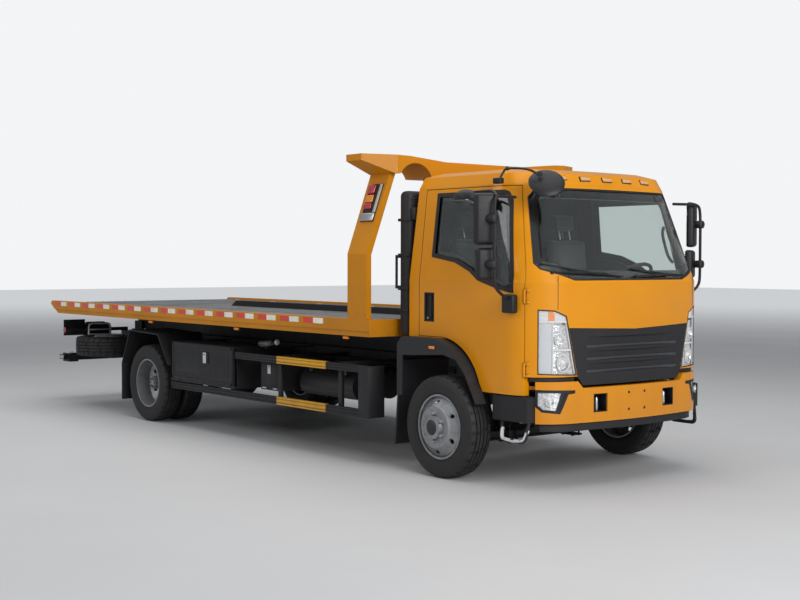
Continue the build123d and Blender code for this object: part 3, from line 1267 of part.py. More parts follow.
# Headboard: leaning posts, a full-width beam with tapered tips and two arches, and a low guard between columns
with BuildPart() as headboard:
    for side in (-1, 1):
        with BuildSketch(cross_plane(post_rear)):
            with BuildLine():
                Polyline((side * (bed_half_width - 50), bed_rail_top), (side * bed_half_width, bed_rail_top),
                         (side * bed_half_width, post_kink_z), (side * (bed_half_width - post_lean), post_top_z + 20),
                         (side * (bed_half_width - post_lean - 60), post_top_z + 20),
                         (side * (bed_half_width - 50), post_kink_z - 10), close=True)
            make_face()
        extrude(amount=post_rear - post_front)
    with BuildSketch(cross_plane(beam_rear)):
        with BuildLine():
            Polyline((-bed_half_width, beam_tip_z[0]), (-bed_half_width, beam_tip_z[1]), (-850, 2590), (-450, 2555),
                     (450, 2555), (850, 2590), (bed_half_width, beam_tip_z[1]), (bed_half_width, beam_tip_z[0]),
                     (bed_half_width - post_lean, post_top_z), (arch_x[1], post_top_z), (arch_x[0], beam_low_z),
                     (-arch_x[0], beam_low_z), (-arch_x[1], post_top_z), (-bed_half_width + post_lean, post_top_z),
                     close=True)
        make_face()
    extrude(amount=beam_rear - beam_front)
    for side in (-1, 1):
        with BuildSketch(level_plane(post_top_z - 40)):
            with BuildLine():
                Polyline((side * (bed_half_width + 1), beam_rear + 1), (side * (bed_half_width + 1), beam_front + 150),
                         (side * (bed_half_width - post_lean - 20), beam_front - 1),
                         (side * (bed_half_width + 1), beam_front - 1), close=True)
            make_face()
        extrude(amount=220, mode=Mode.SUBTRACT)
        with BuildSketch(cross_plane(beam_rear + 1)):
            with BuildLine():
                ThreePointArc((side * arch_x[0], beam_low_z - 1), (side * (arch_x[0] + arch_x[1]) / 2, arch_crown_z),
                              (side * arch_x[1], post_top_z - 1))
                Polyline((side * arch_x[1], post_top_z - 1), (side * arch_x[1], beam_low_z - 60),
                         (side * arch_x[0], beam_low_z - 60), (side * arch_x[0], beam_low_z - 1))
            make_face()
        extrude(amount=beam_rear - beam_front + 2, mode=Mode.SUBTRACT)
        slab(sides(column_x - 25, column_x + 25, side), (post_front + 20, post_front + 70),
             (deck_top, beam_low_z - running_gap))
    slab((-column_x + 25, column_x - 25), (post_front + 30, post_front + 60), (deck_top + 25, 1700))
headboard.part.label = "headboard"
export_step(headboard.part, "parts/headboard.step")

# Winch behind the headboard and the low guide bar along the deck
with BuildPart() as winch:
    slab((-330, 330), (1110, 1420), (deck_top, deck_top + 24))
    for x in (-300, 270):
        slab((x, x + 30), (1110, 1410), (deck_top + 24, deck_top + 300))
    with Locations(Location((0, front_axle_y + 1255, deck_top + 170), (0, 90, 0))):
        Cylinder(70, 560)
        Cylinder(110, 40)
    for x in (-230, 200):
        slab((x, x + 30), (1150, 1360), (deck_top + 60, deck_top + 285))
    with BuildSketch(side_plane(-40)):
        with BuildLine():
            Polyline((1420 + running_gap, deck_top), (4900, deck_top), (4800, deck_top + 60),
                     (1420 + running_gap, deck_top + 60), close=True)
        make_face()
    extrude(amount=80)
winch.part.label = "winch"
export_step(winch.part, "parts/winch.step")

# Underlift: a pivoting boom and a bar that slides out of it
with BuildPart() as underlift_boom:
    slab((-boom_half_width, boom_half_width), (lift_pivot_y + 60, boom_rear), (boom_low, boom_high))
    slab((-boom_half_width, boom_half_width), (lift_pivot_y, lift_pivot_y + 70), (lift_pivot_z - 40, boom_high))
    with Locations(Location((0, front_axle_y + lift_pivot_y, lift_pivot_z), (0, 90, 0))):
        Cylinder(40, 2 * boom_half_width)
        Cylinder(lift_pin_radius + running_gap, 2 * boom_half_width, mode=Mode.SUBTRACT)
    slab((-bar_half_width - running_gap, bar_half_width + running_gap), (bar_front - 20, boom_rear + 1),
         (bar_low - running_gap, bar_high + running_gap), mode=Mode.SUBTRACT)
underlift_boom.part.label = "underlift_boom"
export_step(underlift_boom.part, "parts/underlift_boom.step")

with BuildPart() as underlift_bar:
    slab((-bar_half_width, bar_half_width), (bar_front, lift_bar_y), (bar_low, bar_high))
    slab((-lift_bar_half, lift_bar_half), (lift_bar_y - 50, lift_bar_y + 50), (lift_bar_z - 45, lift_bar_z + 45))
    for side in (-1, 1):
        slab(sides(lift_bar_half - 120, lift_bar_half, side), (lift_bar_y - 90, lift_bar_y + 90),
             (lift_bar_z - 60, lift_bar_z + 50))
        with Locations((side * (lift_bar_half - 60), front_axle_y + lift_bar_y, lift_bar_z)):
            Cylinder(claw_hole_radius, 200, mode=Mode.SUBTRACT)
        slab(sides(lift_bar_half - 20, lift_bar_half + 60, side), (lift_bar_y - 60, lift_bar_y + 60),
             (lift_bar_z - 30, lift_bar_z + 30))
underlift_bar.part.label = "underlift_bar"
export_step(underlift_bar.part, "parts/underlift_bar.step")
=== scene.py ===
import bmesh
import bpy
from math import atan2, cos, pi, radians, sin, sqrt, tan
from mathutils import Matrix, Vector


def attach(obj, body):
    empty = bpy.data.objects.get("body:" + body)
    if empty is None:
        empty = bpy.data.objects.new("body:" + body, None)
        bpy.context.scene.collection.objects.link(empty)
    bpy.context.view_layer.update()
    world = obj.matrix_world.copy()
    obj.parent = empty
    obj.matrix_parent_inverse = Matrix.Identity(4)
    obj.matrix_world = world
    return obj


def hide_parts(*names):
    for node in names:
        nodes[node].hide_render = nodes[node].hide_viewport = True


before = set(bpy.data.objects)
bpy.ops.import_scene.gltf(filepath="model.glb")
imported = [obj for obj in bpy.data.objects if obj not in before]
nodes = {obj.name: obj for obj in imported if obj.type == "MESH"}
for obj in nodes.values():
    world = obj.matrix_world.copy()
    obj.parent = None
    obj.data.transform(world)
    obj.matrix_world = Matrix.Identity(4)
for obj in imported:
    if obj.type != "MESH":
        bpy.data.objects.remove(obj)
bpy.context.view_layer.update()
print("frame loaded,", len(nodes), "nodes")

frontAxle = -3.1825  # the front axle's y; stations are counted rearwards from it


class Wire:  # a socket that takes part in sums
    def __init__(self, finish, socket):
        self.finish = finish
        self.socket = socket

    def sum(self, operation, first, second):
        return self.finish.node("ShaderNodeMath", {"operation": operation}, {0: first, 1: second})

    def __add__(self, other): return self.sum("ADD", self, other)
    def __radd__(self, other): return self.sum("ADD", other, self)
    def __sub__(self, other): return self.sum("SUBTRACT", self, other)
    def __rsub__(self, other): return self.sum("SUBTRACT", other, self)
    def __mul__(self, other): return self.sum("MULTIPLY", self, other)
    def __rmul__(self, other): return self.sum("MULTIPLY", other, self)
    def __lt__(self, other): return self.sum("LESS_THAN", self, other)


class Finish:  # a material and its shader, built node by node
    def __init__(self, name, color, roughness=0.5, metallic=0.0, **values):
        self.material = bpy.data.materials.new(name)
        self.material.use_nodes = True
        self.tree = self.material.node_tree
        self.shader = self.tree.nodes["Principled BSDF"]
        self.set("Base Color", (*color, 1.0))
        self.set("Roughness", roughness)
        self.set("Metallic", metallic)
        for key, value in values.items():
            self.set(key.replace("_", " "), value)
        self.place = None

    def node(self, kind, settings=None, values=None, out=0):
        made = self.tree.nodes.new(kind)
        for key, value in (settings or {}).items():
            setattr(made, key, value)
        for key, value in (values or {}).items():
            if isinstance(value, Wire):
                self.tree.links.new(value.socket, made.inputs[key])
            else:
                made.inputs[key].default_value = value
        return Wire(self, made.outputs[out])

    def set(self, key, value):
        if isinstance(value, Wire):
            self.tree.links.new(value.socket, self.shader.inputs[key])
        else:
            self.shader.inputs[key].default_value = value

    def at(self):  # the point in the object's own metres
        if self.place is None:
            self.place = self.node("ShaderNodeTexCoord", out=3)
        return self.place

    def axis(self, index):
        return self.node("ShaderNodeSeparateXYZ", values={0: self.at()}, out=index)

    def stretched(self, scale):
        return self.node("ShaderNodeMapping", values={0: self.at(), 3: scale})

    def noise(self, scale, detail=4.0, roughness=0.55, place=None):
        return self.node("ShaderNodeTexNoise", values={
            "Vector": place or self.at(), "Scale": scale, "Detail": detail, "Roughness": roughness})

    def wave(self, direction, scale, place=None, **values):
        return self.node("ShaderNodeTexWave", {"bands_direction": direction}, {
            "Vector": place or self.at(), "Scale": scale, **values})

    def cells(self, scale, **settings):
        return self.node("ShaderNodeTexVoronoi", settings, {"Vector": self.at(), "Scale": scale})

    def vector(self, operation, values, out=0):
        return self.node("ShaderNodeVectorMath", {"operation": operation}, dict(enumerate(values)), out)

    def step(self, value, low, high):  # 0 below low, 1 above high
        return self.node("ShaderNodeMapRange", {"interpolation_type": "SMOOTHSTEP"}, {0: value, 1: low, 2: high})

    def mix(self, share, first, second):
        first, second = [(*c, 1.0) if isinstance(c, tuple) and len(c) == 3 else c for c in (first, second)]
        return self.node("ShaderNodeMix", {"data_type": "RGBA"}, {0: share, 6: first, 7: second}, out=2)

    def edges(self, reach, low=0.03, high=0.3):  # 1 where two faces meet at an outward edge
        soft = self.node("ShaderNodeBevel", {"samples": 4}, {"Radius": reach})
        flat = self.node("ShaderNodeNewGeometry", out=1)
        return self.step(1.0 - self.vector("DOT_PRODUCT", (soft, flat), 1), low, high)

    def rounded(self, reach, bump, depth, strength):  # soft edges, with a bump on top
        soft = self.node("ShaderNodeBevel", {"samples": 4}, {"Radius": reach})
        self.set("Normal", self.node("ShaderNodeBump", values={
            "Height": bump, "Distance": depth, "Strength": strength, "Normal": soft}))


def paint(name, color, dirtColor=(0.09, 0.075, 0.055), dirtTop=0.9, dirt=0.2, roughness=0.32, flake=0.02,
          coat=0.35, shadedHollow=None):
    # gloss vehicle paint, a little darker in patches, with road dust low down and orange-peel;
    # around a hollow's middle, the faces that look towards it are painted near-black without coat: dark trim together
    # with painted shade inside the hollow
    made = Finish(name, color, roughness, Coat_Weight=coat, Coat_Roughness=0.06, Specular_IOR_Level=0.3)
    tone = made.noise(0.9, 3.0)
    darker = tuple(c * 0.86 for c in color)
    base = made.mix(made.step(tone, 0.35, 0.7), color, darker)
    speck = made.noise(240.0, 2.0)
    low = 1.0 - made.step(made.axis(2), dirtTop - 0.5, dirtTop + 0.25)
    streak = made.noise(9.0, 6.0, 0.65, made.stretched((1.0, 1.0, 0.22)))
    dust = made.step(streak * 0.7 + low * 0.55, 0.55, 1.05) * dirt
    base = made.mix(dust, base, dirtColor)
    chips = made.edges(0.004, 0.04, 0.3) * made.step(made.noise(55.0, 3.0), 0.58, 0.72)
    base = made.mix(chips * 0.5, base, tuple(c * 0.4 for c in color))
    if shadedHollow:
        # painted shade: faces looking into the hollow turn near-black, standing in for its dark trim and the shade
        # inside it
        away = made.vector("NORMALIZE", (made.vector("SUBTRACT", (made.at(), shadedHollow)),))
        facing = made.node("ShaderNodeTexCoord", out=1)
        linedAndShaded = made.vector("DOT_PRODUCT", (facing, away), 1) < 0.2
        base = made.mix(linedAndShaded, base, (0.018, 0.018, 0.020))
        made.set("Coat Weight", coat - linedAndShaded * coat)
    made.set("Base Color", base)
    made.set("Roughness", roughness + dust * 0.45 + speck * flake)
    made.rounded(0.004, made.noise(420.0, 2.0), 0.00008, 0.25)
    return made


def plastic(name, color, roughness=0.6, grain=900.0, dust=0.25, depth=0.00015):
    # moulded plastic with a fine grain, greyer where dust lies
    made = Finish(name, color, roughness)
    lies = made.step(made.noise(6.0, 6.0, 0.6), 0.5, 0.85) * dust
    pale = tuple(c + 0.035 for c in color)
    worn = made.edges(0.003) * 0.5
    made.set("Base Color", made.mix(lies + worn * 0.4, color, pale))
    made.set("Roughness", made.noise(30.0, 3.0) * 0.16 + (roughness - 0.08))
    made.rounded(0.003, made.noise(grain, 2.0), depth, 0.4)
    return made


def metal(name, color, roughness=0.35, metallic=1.0, brushed=None, rust=0.0, wear=0.3):
    # bare or coated metal with brushing, handling marks and a little rust
    made = Finish(name, color, roughness, metallic)
    marks = made.noise(14.0, 6.0, 0.65)
    base = made.mix(made.step(marks, 0.4, 0.75), color, tuple(c * 0.72 for c in color))
    if rust:
        spots = made.step(made.noise(22.0, 8.0, 0.7), 0.62 - rust * 0.2, 0.72) * rust
        base = made.mix(spots, base, (0.16, 0.06, 0.025))
        made.set("Metallic", metallic * (1.0 - spots))
    rubbed = made.edges(0.003) * wear
    made.base = made.mix(rubbed, base, tuple(min(c * 1.5 + 0.06, 1.0) for c in color))
    made.set("Base Color", made.base)
    made.set("Roughness", marks * 0.25 + (roughness - 0.1))
    lines = made.noise(60.0, 3.0, 0.5, made.stretched(brushed)) if brushed else made.noise(320.0, 3.0)
    made.rounded(0.002, lines, 0.00012, 0.35)
    return made


def tapeFinish(name, color, faded):  # reflective sheet with honeycomb cells
    made = Finish(name, color, 0.28, Coat_Weight=0.4)
    lines = 1.0 - made.step(made.cells(160.0, feature="DISTANCE_TO_EDGE"), 0.02, 0.12)
    base = made.mix(made.step(made.noise(9.0, 5.0), 0.4, 0.75), color, faded)
    made.set("Base Color", made.mix(lines * 0.25, base, tuple(c * 0.5 for c in color)))
    made.rounded(0.0006, lines, 0.0001, 0.3)
    return made


def rubber(name, color=(0.014, 0.014, 0.015)):
    made = Finish(name, color, 0.72)
    dusty = made.step(made.noise(7.0, 6.0, 0.6), 0.42, 0.8)
    made.set("Base Color", made.mix(dusty * 0.4, color, (0.050, 0.046, 0.040)))
    made.set("Roughness", dusty * 0.2 + 0.6)
    made.rounded(0.002, made.noise(140.0, 3.0), 0.0004, 0.4)
    return made


def lens(name, color, ribs, clear=0.0):  # moulded lamp lens, ribbed upright
    made = Finish(name, color, 0.08, Transmission_Weight=clear, IOR=1.49, Coat_Weight=0.5)
    haze = made.step(made.noise(60.0, 4.0), 0.5, 0.8)
    made.set("Roughness", haze * 0.12 + 0.06)
    made.rounded(0.001, made.wave("Y", ribs, Detail=0.0), 0.0008, 0.5)
    return made


def clearCover(name, color, share):  # thin clear plastic that lets light through to what lies behind it
    made = Finish(name, color, 0.06, Coat_Weight=0.6)
    haze = made.step(made.noise(60.0, 4.0), 0.5, 0.8)
    made.set("Roughness", haze * 0.1 + 0.05)
    made.set("Alpha", haze * 0.04 + share)
    return made


def facets(name, color, scale=70.0):  # a bright reflector broken into many small facets
    made = Finish(name, color, 0.16, 0.45)
    cells = made.cells(scale, distance="CHEBYCHEV")
    made.set("Base Color", made.mix(made.step(cells, 0.15, 0.6), color, tuple(c * 0.6 for c in color)))
    made.set("Roughness", cells * 0.15 + 0.12)
    made.rounded(0.001, cells, 0.004, 0.9)
    return made


def glass(name, tint, rough=0.02):
    # see-through from outside, with a grey tint and patches of light dust that make it rougher
    made = Finish(name, tint, rough, Transmission_Weight=1.0, IOR=1.1, Specular_IOR_Level=0.8, Coat_Weight=1.0,
                  Coat_Roughness=0.02)
    film = made.step(made.noise(3.0, 6.0, 0.6), 0.45, 0.8)
    made.set("Roughness", film * 0.05 + rough)
    return made


def treadPlate(name, color):
    # worn steel deck with raised lozenges, rust at the scratches
    made = Finish(name, color, 0.5, 0.55)
    place = made.node("ShaderNodeMapping", values={0: made.at(), 2: (0.0, 0.0, pi / 4), 3: (28.0, 28.0, 28.0)})
    square = made.node("ShaderNodeTexChecker", values={0: place, 3: 1.0}, out=1)
    cross, down = (made.wave(way, 0.5, place, Detail=0.0) for way in "XY")
    lozenge = made.step(square * cross + (1.0 - square) * down, 0.55, 0.8)
    worn = made.step(made.noise(2.0, 8.0, 0.65), 0.42, 0.7)
    scratched = made.noise(18.0, 8.0, 0.7, made.stretched((1.0, 0.08, 1.0)))
    rust = made.step(scratched, 0.6, 0.72) * worn
    base = made.mix(worn * 0.6, color, (0.30, 0.29, 0.28))
    base = made.mix(rust * 0.7, base, (0.17, 0.08, 0.04))
    made.set("Base Color", made.mix(lozenge * 0.25, base, (0.42, 0.42, 0.42)))
    made.set("Roughness", 0.62 - lozenge * 0.2)
    made.rounded(0.002, lozenge, 0.003, 0.8)
    return made


def weave(name, color, pale):  # seat cloth with a visible rib
    made = Finish(name, color, 0.9, Sheen_Weight=0.3, Sheen_Roughness=0.4)
    rib, cross = (made.wave(way, 90.0, Distortion=0.4) for way in "XZ")
    made.set("Base Color", made.mix(made.noise(40.0, 4.0) * 0.6 + rib * 0.3, color, pale))
    made.set("Normal", made.node("ShaderNodeBump", values={
        "Height": rib * cross, "Distance": 0.001, "Strength": 0.5}))
    return made


finishes = {
    # the cab's inward faces are painted near-black: dark trim and painted shade inside the cab
    "cab": paint("cabOrange", (0.80, 0.300, 0.001), dirt=0.12, shadedHollow=(0.0, frontAxle - 0.25, 1.62)),
    "bumper": paint("bumperOrange", (0.80, 0.295, 0.001), dirtTop=1.0, dirt=0.12),
    "bed": paint("bedOrange", (0.66, 0.250, 0.001), dirtTop=1.4, dirt=0.15, roughness=0.5, coat=0.1),
    "yellow": paint("guardYellow", (0.86, 0.43, 0.012), dirt=0.35, roughness=0.42),
    "frame": metal("chassisBlack", (0.011, 0.011, 0.013), 0.52, 0.0, wear=0.15),
    "plastic": plastic("mouldedBlack", (0.012, 0.012, 0.014), 0.6, dust=0.12),
    "flare": plastic("flareGrey", (0.016, 0.017, 0.021), 0.55, 700.0, 0.15),
    "housing": plastic("housingBlack", (0.007, 0.007, 0.009), 0.5, 1200.0, 0.05),
    "dash": plastic("dashGrey", (0.05, 0.05, 0.055), 0.7),
    "deck": treadPlate("deckPlate", (0.17, 0.17, 0.175)),
    "tapeWhite": tapeFinish("tapeWhite", (0.96, 0.94, 0.82), (0.78, 0.75, 0.60)),
    "tapeRed": tapeFinish("tapeRed", (0.80, 0.038, 0.020), (0.58, 0.06, 0.04)),
    "tyre": rubber("tyreRubber"),
    "seal": rubber("windowSeal", (0.012, 0.012, 0.013)),
    "wheel": metal("wheelSilver", (0.33, 0.34, 0.35), 0.42, 0.7, rust=0.2),
    "hub": metal("hubBlack", (0.03, 0.03, 0.032), 0.45, 0.2, rust=0.5),
    "cast": metal("castIron", (0.06, 0.058, 0.055), 0.6, 0.6, rust=0.7),
    "bright": metal("brightSteel", (0.62, 0.62, 0.63), 0.3, 1.0),
    "rod": metal("rodChrome", (0.75, 0.76, 0.78), 0.12, 1.0, wear=0.05),
    "tank": metal("tankAluminium", (0.52, 0.53, 0.55), 0.38, 0.9, brushed=(1.0, 9.0, 1.0)),
    "mirror": Finish("mirrorGlass", (0.85, 0.87, 0.88), 0.03, 1.0),
    "reflector": Finish("lampReflector", (0.86, 0.87, 0.88), 0.12, 1.0),
    "screen": glass("screenGlass", (0.82, 0.88, 0.86)),
    "window": glass("doorGlass", (0.62, 0.68, 0.67)),
    "frit": plastic("screenPrint", (0.008, 0.008, 0.009), 0.18, 1500.0, 0.1, 0.00003),
    "screenDark": plastic("instrumentGlass", (0.010, 0.011, 0.013), 0.12, 1500.0, 0.1, 0.00003),
    "clear": clearCover("clearLens", (0.93, 0.94, 0.95), 0.07),
    "bulb": plastic("bulbWhite", (0.86, 0.87, 0.88), 0.15, 600.0, 0.1),
    "facets": facets("lampFacets", (0.93, 0.94, 0.96)),
    "lampBand": plastic("lampBand", (0.60, 0.62, 0.64), 0.25, 600.0, 0.1),
    "glossBlack": plastic("grilleGloss", (0.010, 0.010, 0.012), 0.14, 1500.0, 0.08, 0.00003),
    "grilleGrey": plastic("grilleGrey", (0.045, 0.046, 0.052), 0.3, 1000.0, 0.1),
    "amber": lens("amberLens", (0.90, 0.26, 0.002), 90.0),
    "red": lens("redLens", (0.62, 0.02, 0.012), 90.0, 0.2),
    "white": lens("whiteLens", (0.8, 0.8, 0.78), 90.0, 0.1),
    "whiteLens": lens("reverseLens", (0.78, 0.78, 0.76), 120.0, 0.1),
    "clearStrip": lens("clearStrip", (0.62, 0.60, 0.52), 140.0, 0.15),
    "paleAmber": lens("paleAmberLens", (0.86, 0.50, 0.22), 80.0, 0.2),
    "plateWhite": paint("plateWhite", (0.62, 0.62, 0.60), dirt=0.3),
    "silverPaint": metal("clawSilver", (0.58, 0.58, 0.58), 0.45, 0.6, rust=0.3),
    "latch": plastic("latchSilver", (0.62, 0.63, 0.65), 0.3, 600.0, 0.1),
    "knob": plastic("knobWhite", (0.72, 0.72, 0.68), 0.3, 600.0, 0.2),
    "piping": plastic("seatPiping", (0.03, 0.03, 0.034), 0.6, 900.0, 0.1),
    "cloth": weave("seatCloth", (0.045, 0.047, 0.055), (0.10, 0.10, 0.115)),
    "rope": metal("ropeSteel", (0.35, 0.35, 0.34), 0.5, 0.8),
}

# the tank on the left is bare aluminium, what hangs on the right is black
tank = finishes["tank"]
right = tank.axis(0) < 0.0
tank.set("Base Color", tank.mix(right, tank.base, (0.012, 0.012, 0.014)))
tank.set("Metallic", 0.9 - right * 0.9)

# which finish each CAD node carries
worn = {
    "cab": ["cab_front", "cab_frame", "cab_roof", "door_left", "door_right"],
    "bumper": ["bumper"],
    "bed": ["bed_rails", "headboard"],
    "frame": ["frame_rails", "front_axle", "knuckle_left", "knuckle_right", "tie_rod", "leaf_springs", "side_guards",
              "toolboxes", "toolbox_lid_left", "toolbox_lid_right", "tilt_frame", "tilt_barrels", "underlift_boom",
              "underlift_bar", "rear_lamps", "bed_frame", "winch"],
    "cast": ["rear_axle", "engine_block"],
    "plastic": ["grille", "cab_steps", "rear_mudguards", "steering_wheel"],
    "flare": ["wheel_arches"],
    "housing": ["intake_stack", "roof_mirror", "mirror_left", "mirror_right"],
    "dash": ["dashboard"],
    "deck": ["bed_deck"],
    "tyre": ["front_tyre_left", "front_tyre_right", "rear_tyres_left", "rear_tyres_right", "spare_tyre"],
    "wheel": ["front_rim_left", "front_rim_right", "rear_rims_left", "rear_rims_right", "spare_rim"],
    "screen": ["windscreen"],
    "window": ["door_glass_left", "door_glass_right"],
    "clear": ["front_lamps"],
    "amber": ["bed_lamps"],
    "rod": ["tilt_rods"],
    "cloth": ["seats"],
    "tank": ["tanks"],
}
for finish, names in worn.items():
    for name in names:
        nodes[name].data.materials.clear()
        nodes[name].data.materials.append(finishes[finish].material)
print("finishes given")


def row(start, pitch, count):  # evenly spaced places
    return [start + index * pitch for index in range(count)]


def placed(place, angle, axis):  # a matrix that turns by degrees about an axis, then moves
    return Matrix.Translation(place) @ Matrix.Rotation(radians(angle), 4, axis)


def turned(direction, place):  # a matrix whose z looks along a direction
    return Matrix.Translation(place) @ Vector(direction).to_track_quat("Z", "Y").to_matrix().to_4x4()


def cube(size, middle=(0.0, 0.0, 0.0)):
    part = bmesh.new()
    bmesh.ops.create_cube(part, size=1.0)
    bmesh.ops.scale(part, vec=size, verts=part.verts)
    bmesh.ops.translate(part, vec=middle, verts=part.verts)
    return part


def soften(part, edges, offset, segments=2):
    bmesh.ops.bevel(part, geom=edges, offset=offset, segments=segments, profile=0.5, affect="EDGES", material=-1)


def close(part):  # welds what meets and turns the faces outwards
    bmesh.ops.remove_doubles(part, verts=part.verts, dist=0.00005)
    bmesh.ops.recalc_face_normals(part, faces=part.faces)


def pushed(part):  # extrudes all faces and gives the new points
    grown = bmesh.ops.extrude_face_region(part, geom=part.faces[:])
    return [item for item in grown["geom"] if isinstance(item, bmesh.types.BMVert)]


def spin(profile, steps, loop=True):  # a profile of radius and height turned about z
    part = bmesh.new()
    points = [part.verts.new((radius, 0.0, height)) for radius, height in profile]
    runs = [part.edges.new(pair) for pair in zip(points, points[1:])]
    if loop:
        runs.append(part.edges.new((points[-1], points[0])))
    bmesh.ops.spin(part, geom=points + runs, cent=(0, 0, 0), axis=(0, 0, 1), angle=2 * pi, steps=steps,
                   use_merge=True)
    close(part)
    return part


def around(count, radius, first=0.0):  # points of a circle, from an angle in degrees
    turns = [radians(first + index * 360.0 / count) for index in range(count)]
    return [(radius * cos(turn), radius * sin(turn)) for turn in turns]


class Shape:  # a piece being modelled, in metres with y counted from the front axle
    def __init__(self):
        self.form = bmesh.new()

    def take(self, part, finish=0, place=None):  # joins a form made on its own
        if place is not None:
            bmesh.ops.transform(part, matrix=place, verts=part.verts)
        for face in part.faces:
            face.material_index = finish
        held = bpy.data.meshes.new("held")
        part.to_mesh(held)
        part.free()
        self.form.from_mesh(held)
        bpy.data.meshes.remove(held)
        return self

    def block(self, first, second, bevel, finish=0, place=None, segments=2):
        # a box between two opposite corners
        low, high = (Vector([pick(pair) for pair in zip(first, second)]) for pick in (min, max))
        part = cube(high - low, (low + high) / 2)
        soften(part, part.edges, bevel, segments)
        return self.take(part, finish, place)

    def blocks(self, rows, segments=2):  # rows of two corners, bevel and finish
        for first, second, bevel, finish in rows:
            self.block(first, second, bevel, finish, segments=segments)

    def rod(self, start, end, radius, endRadius=None, sides=24, bevel=0.0015, finish=0):
        part = bmesh.new()
        length = (Vector(end) - Vector(start)).length
        bmesh.ops.create_cone(part, cap_ends=True, segments=sides, radius1=radius,
                              radius2=radius if endRadius is None else endRadius, depth=length)
        bmesh.ops.translate(part, vec=(0, 0, length / 2), verts=part.verts)
        soften(part, [e for e in part.edges if any(len(f.verts) > 4 for f in e.link_faces)], bevel)
        return self.take(part, finish, turned(Vector(end) - Vector(start), start))

    def bolt(self, place, direction, size, height, finish=0):  # a hexagon head on a washer
        foot, along = Vector(place), Vector(direction).normalized() * height
        self.rod(foot, foot + along * 0.25, size * 1.5, sides=16, bevel=0.0005, finish=finish)
        self.rod(foot + along * 0.25, foot + along, size, sides=6, bevel=size * 0.12, finish=finish)

    def plate(self, outline, thickness, place, bevel, finish=0, segments=2):
        # an outline in its own x and y, pushed along z
        part = bmesh.new()
        part.faces.new([part.verts.new((*point, 0.0)) for point in outline])
        bmesh.ops.translate(part, vec=(0, 0, thickness), verts=pushed(part))
        bmesh.ops.recalc_face_normals(part, faces=part.faces)
        soften(part, part.edges, bevel, segments)
        return self.take(part, finish, place)

    def spun(self, profile, steps, place, finish=0, loop=True):
        return self.take(spin(profile, steps, loop), finish, place)

    def ball(self, centre, radius, finish, squash=(1, 1, 1), rings=10):
        part = bmesh.new()
        bmesh.ops.create_uvsphere(part, u_segments=rings * 2, v_segments=rings, radius=radius)
        bmesh.ops.scale(part, vec=squash, verts=part.verts)
        return self.take(part, finish, Matrix.Translation(centre))

    def pipe(self, points, radius, finish=0, bend=4, sides=12, smooth=True):
        # a tube along a curve through points
        curve = bpy.data.curves.new("line", "CURVE")
        curve.dimensions = "3D"
        curve.bevel_depth = radius
        curve.bevel_resolution = sides // 4
        curve.use_fill_caps = True
        curve.resolution_u = bend
        line = curve.splines.new("NURBS" if smooth else "POLY")
        line.points.add(len(points) - 1)
        for point, where in zip(line.points, points):
            point.co = (*where, 1.0)
        if smooth:
            line.order_u = 3
            line.use_endpoint_u = True
        held = bpy.data.objects.new("line", curve)
        mesh = bpy.data.meshes.new_from_object(held)
        part = bmesh.new()
        part.from_mesh(mesh)
        close(part)
        bpy.data.objects.remove(held)
        bpy.data.curves.remove(curve)
        bpy.data.meshes.remove(mesh)
        return self.take(part, finish)

    def facing(self, side):  # made for the left, it turns over for the right
        if side < 0:
            bmesh.ops.scale(self.form, vec=(-1, 1, 1), verts=self.form.verts)
            bmesh.ops.recalc_face_normals(self.form, faces=self.form.faces)

    def keep(self, name, body, looks, slot, replaces=(), angle=32.0):  # the finished piece, riding on its body
        bmesh.ops.translate(self.form, vec=(0, frontAxle, 0), verts=self.form.verts)
        mesh = bpy.data.meshes.new(name)
        self.form.to_mesh(mesh)
        self.form.free()
        for look in looks:
            mesh.materials.append(finishes[look].material)
        mesh.shade_smooth()
        mesh.set_sharp_from_angle(angle=radians(angle))
        piece = bpy.data.objects.new(name, mesh)
        bpy.context.collection.objects.link(piece)
        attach(piece, body)
        if replaces:
            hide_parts(*replaces)
        return piece


def skin(node, toward, least=0.5, wanted=lambda middle: True):
    # the faces of a CAD node that look one way, as a form of its own, y counted from the front axle
    part = bmesh.new()
    part.from_mesh(nodes[node].data)
    bmesh.ops.remove_doubles(part, verts=part.verts, dist=0.00005)
    part.normal_update()
    toward = Vector(toward).normalized()
    away = [face for face in part.faces
            if face.normal.dot(toward) < least or not wanted(face.calc_center_median())]
    bmesh.ops.delete(part, geom=away, context="FACES")
    bmesh.ops.translate(part, vec=(0, -frontAxle, 0), verts=part.verts)
    return part


def shifted(part, depth, wall):  # moves a skin along its normals and gives it a wall
    part.normal_update()
    normals = {vert: vert.normal.copy() for vert in part.verts}
    for vert, normal in normals.items():
        vert.co += normal * depth
    for vert in pushed(part):
        near = min(normals, key=lambda start: (start.co - vert.co).length_squared)
        vert.co += normals[near] * wall
    bmesh.ops.recalc_face_normals(part, faces=part.faces)
    return part


def trimmed(part, *planes):  # cuts away what lies beyond each plane, given by a point and the way beyond it
    for point, beyond in planes:
        bmesh.ops.bisect_plane(part, geom=part.verts[:] + part.edges[:] + part.faces[:], plane_co=point,
                               plane_no=beyond, clear_outer=True)
    return part


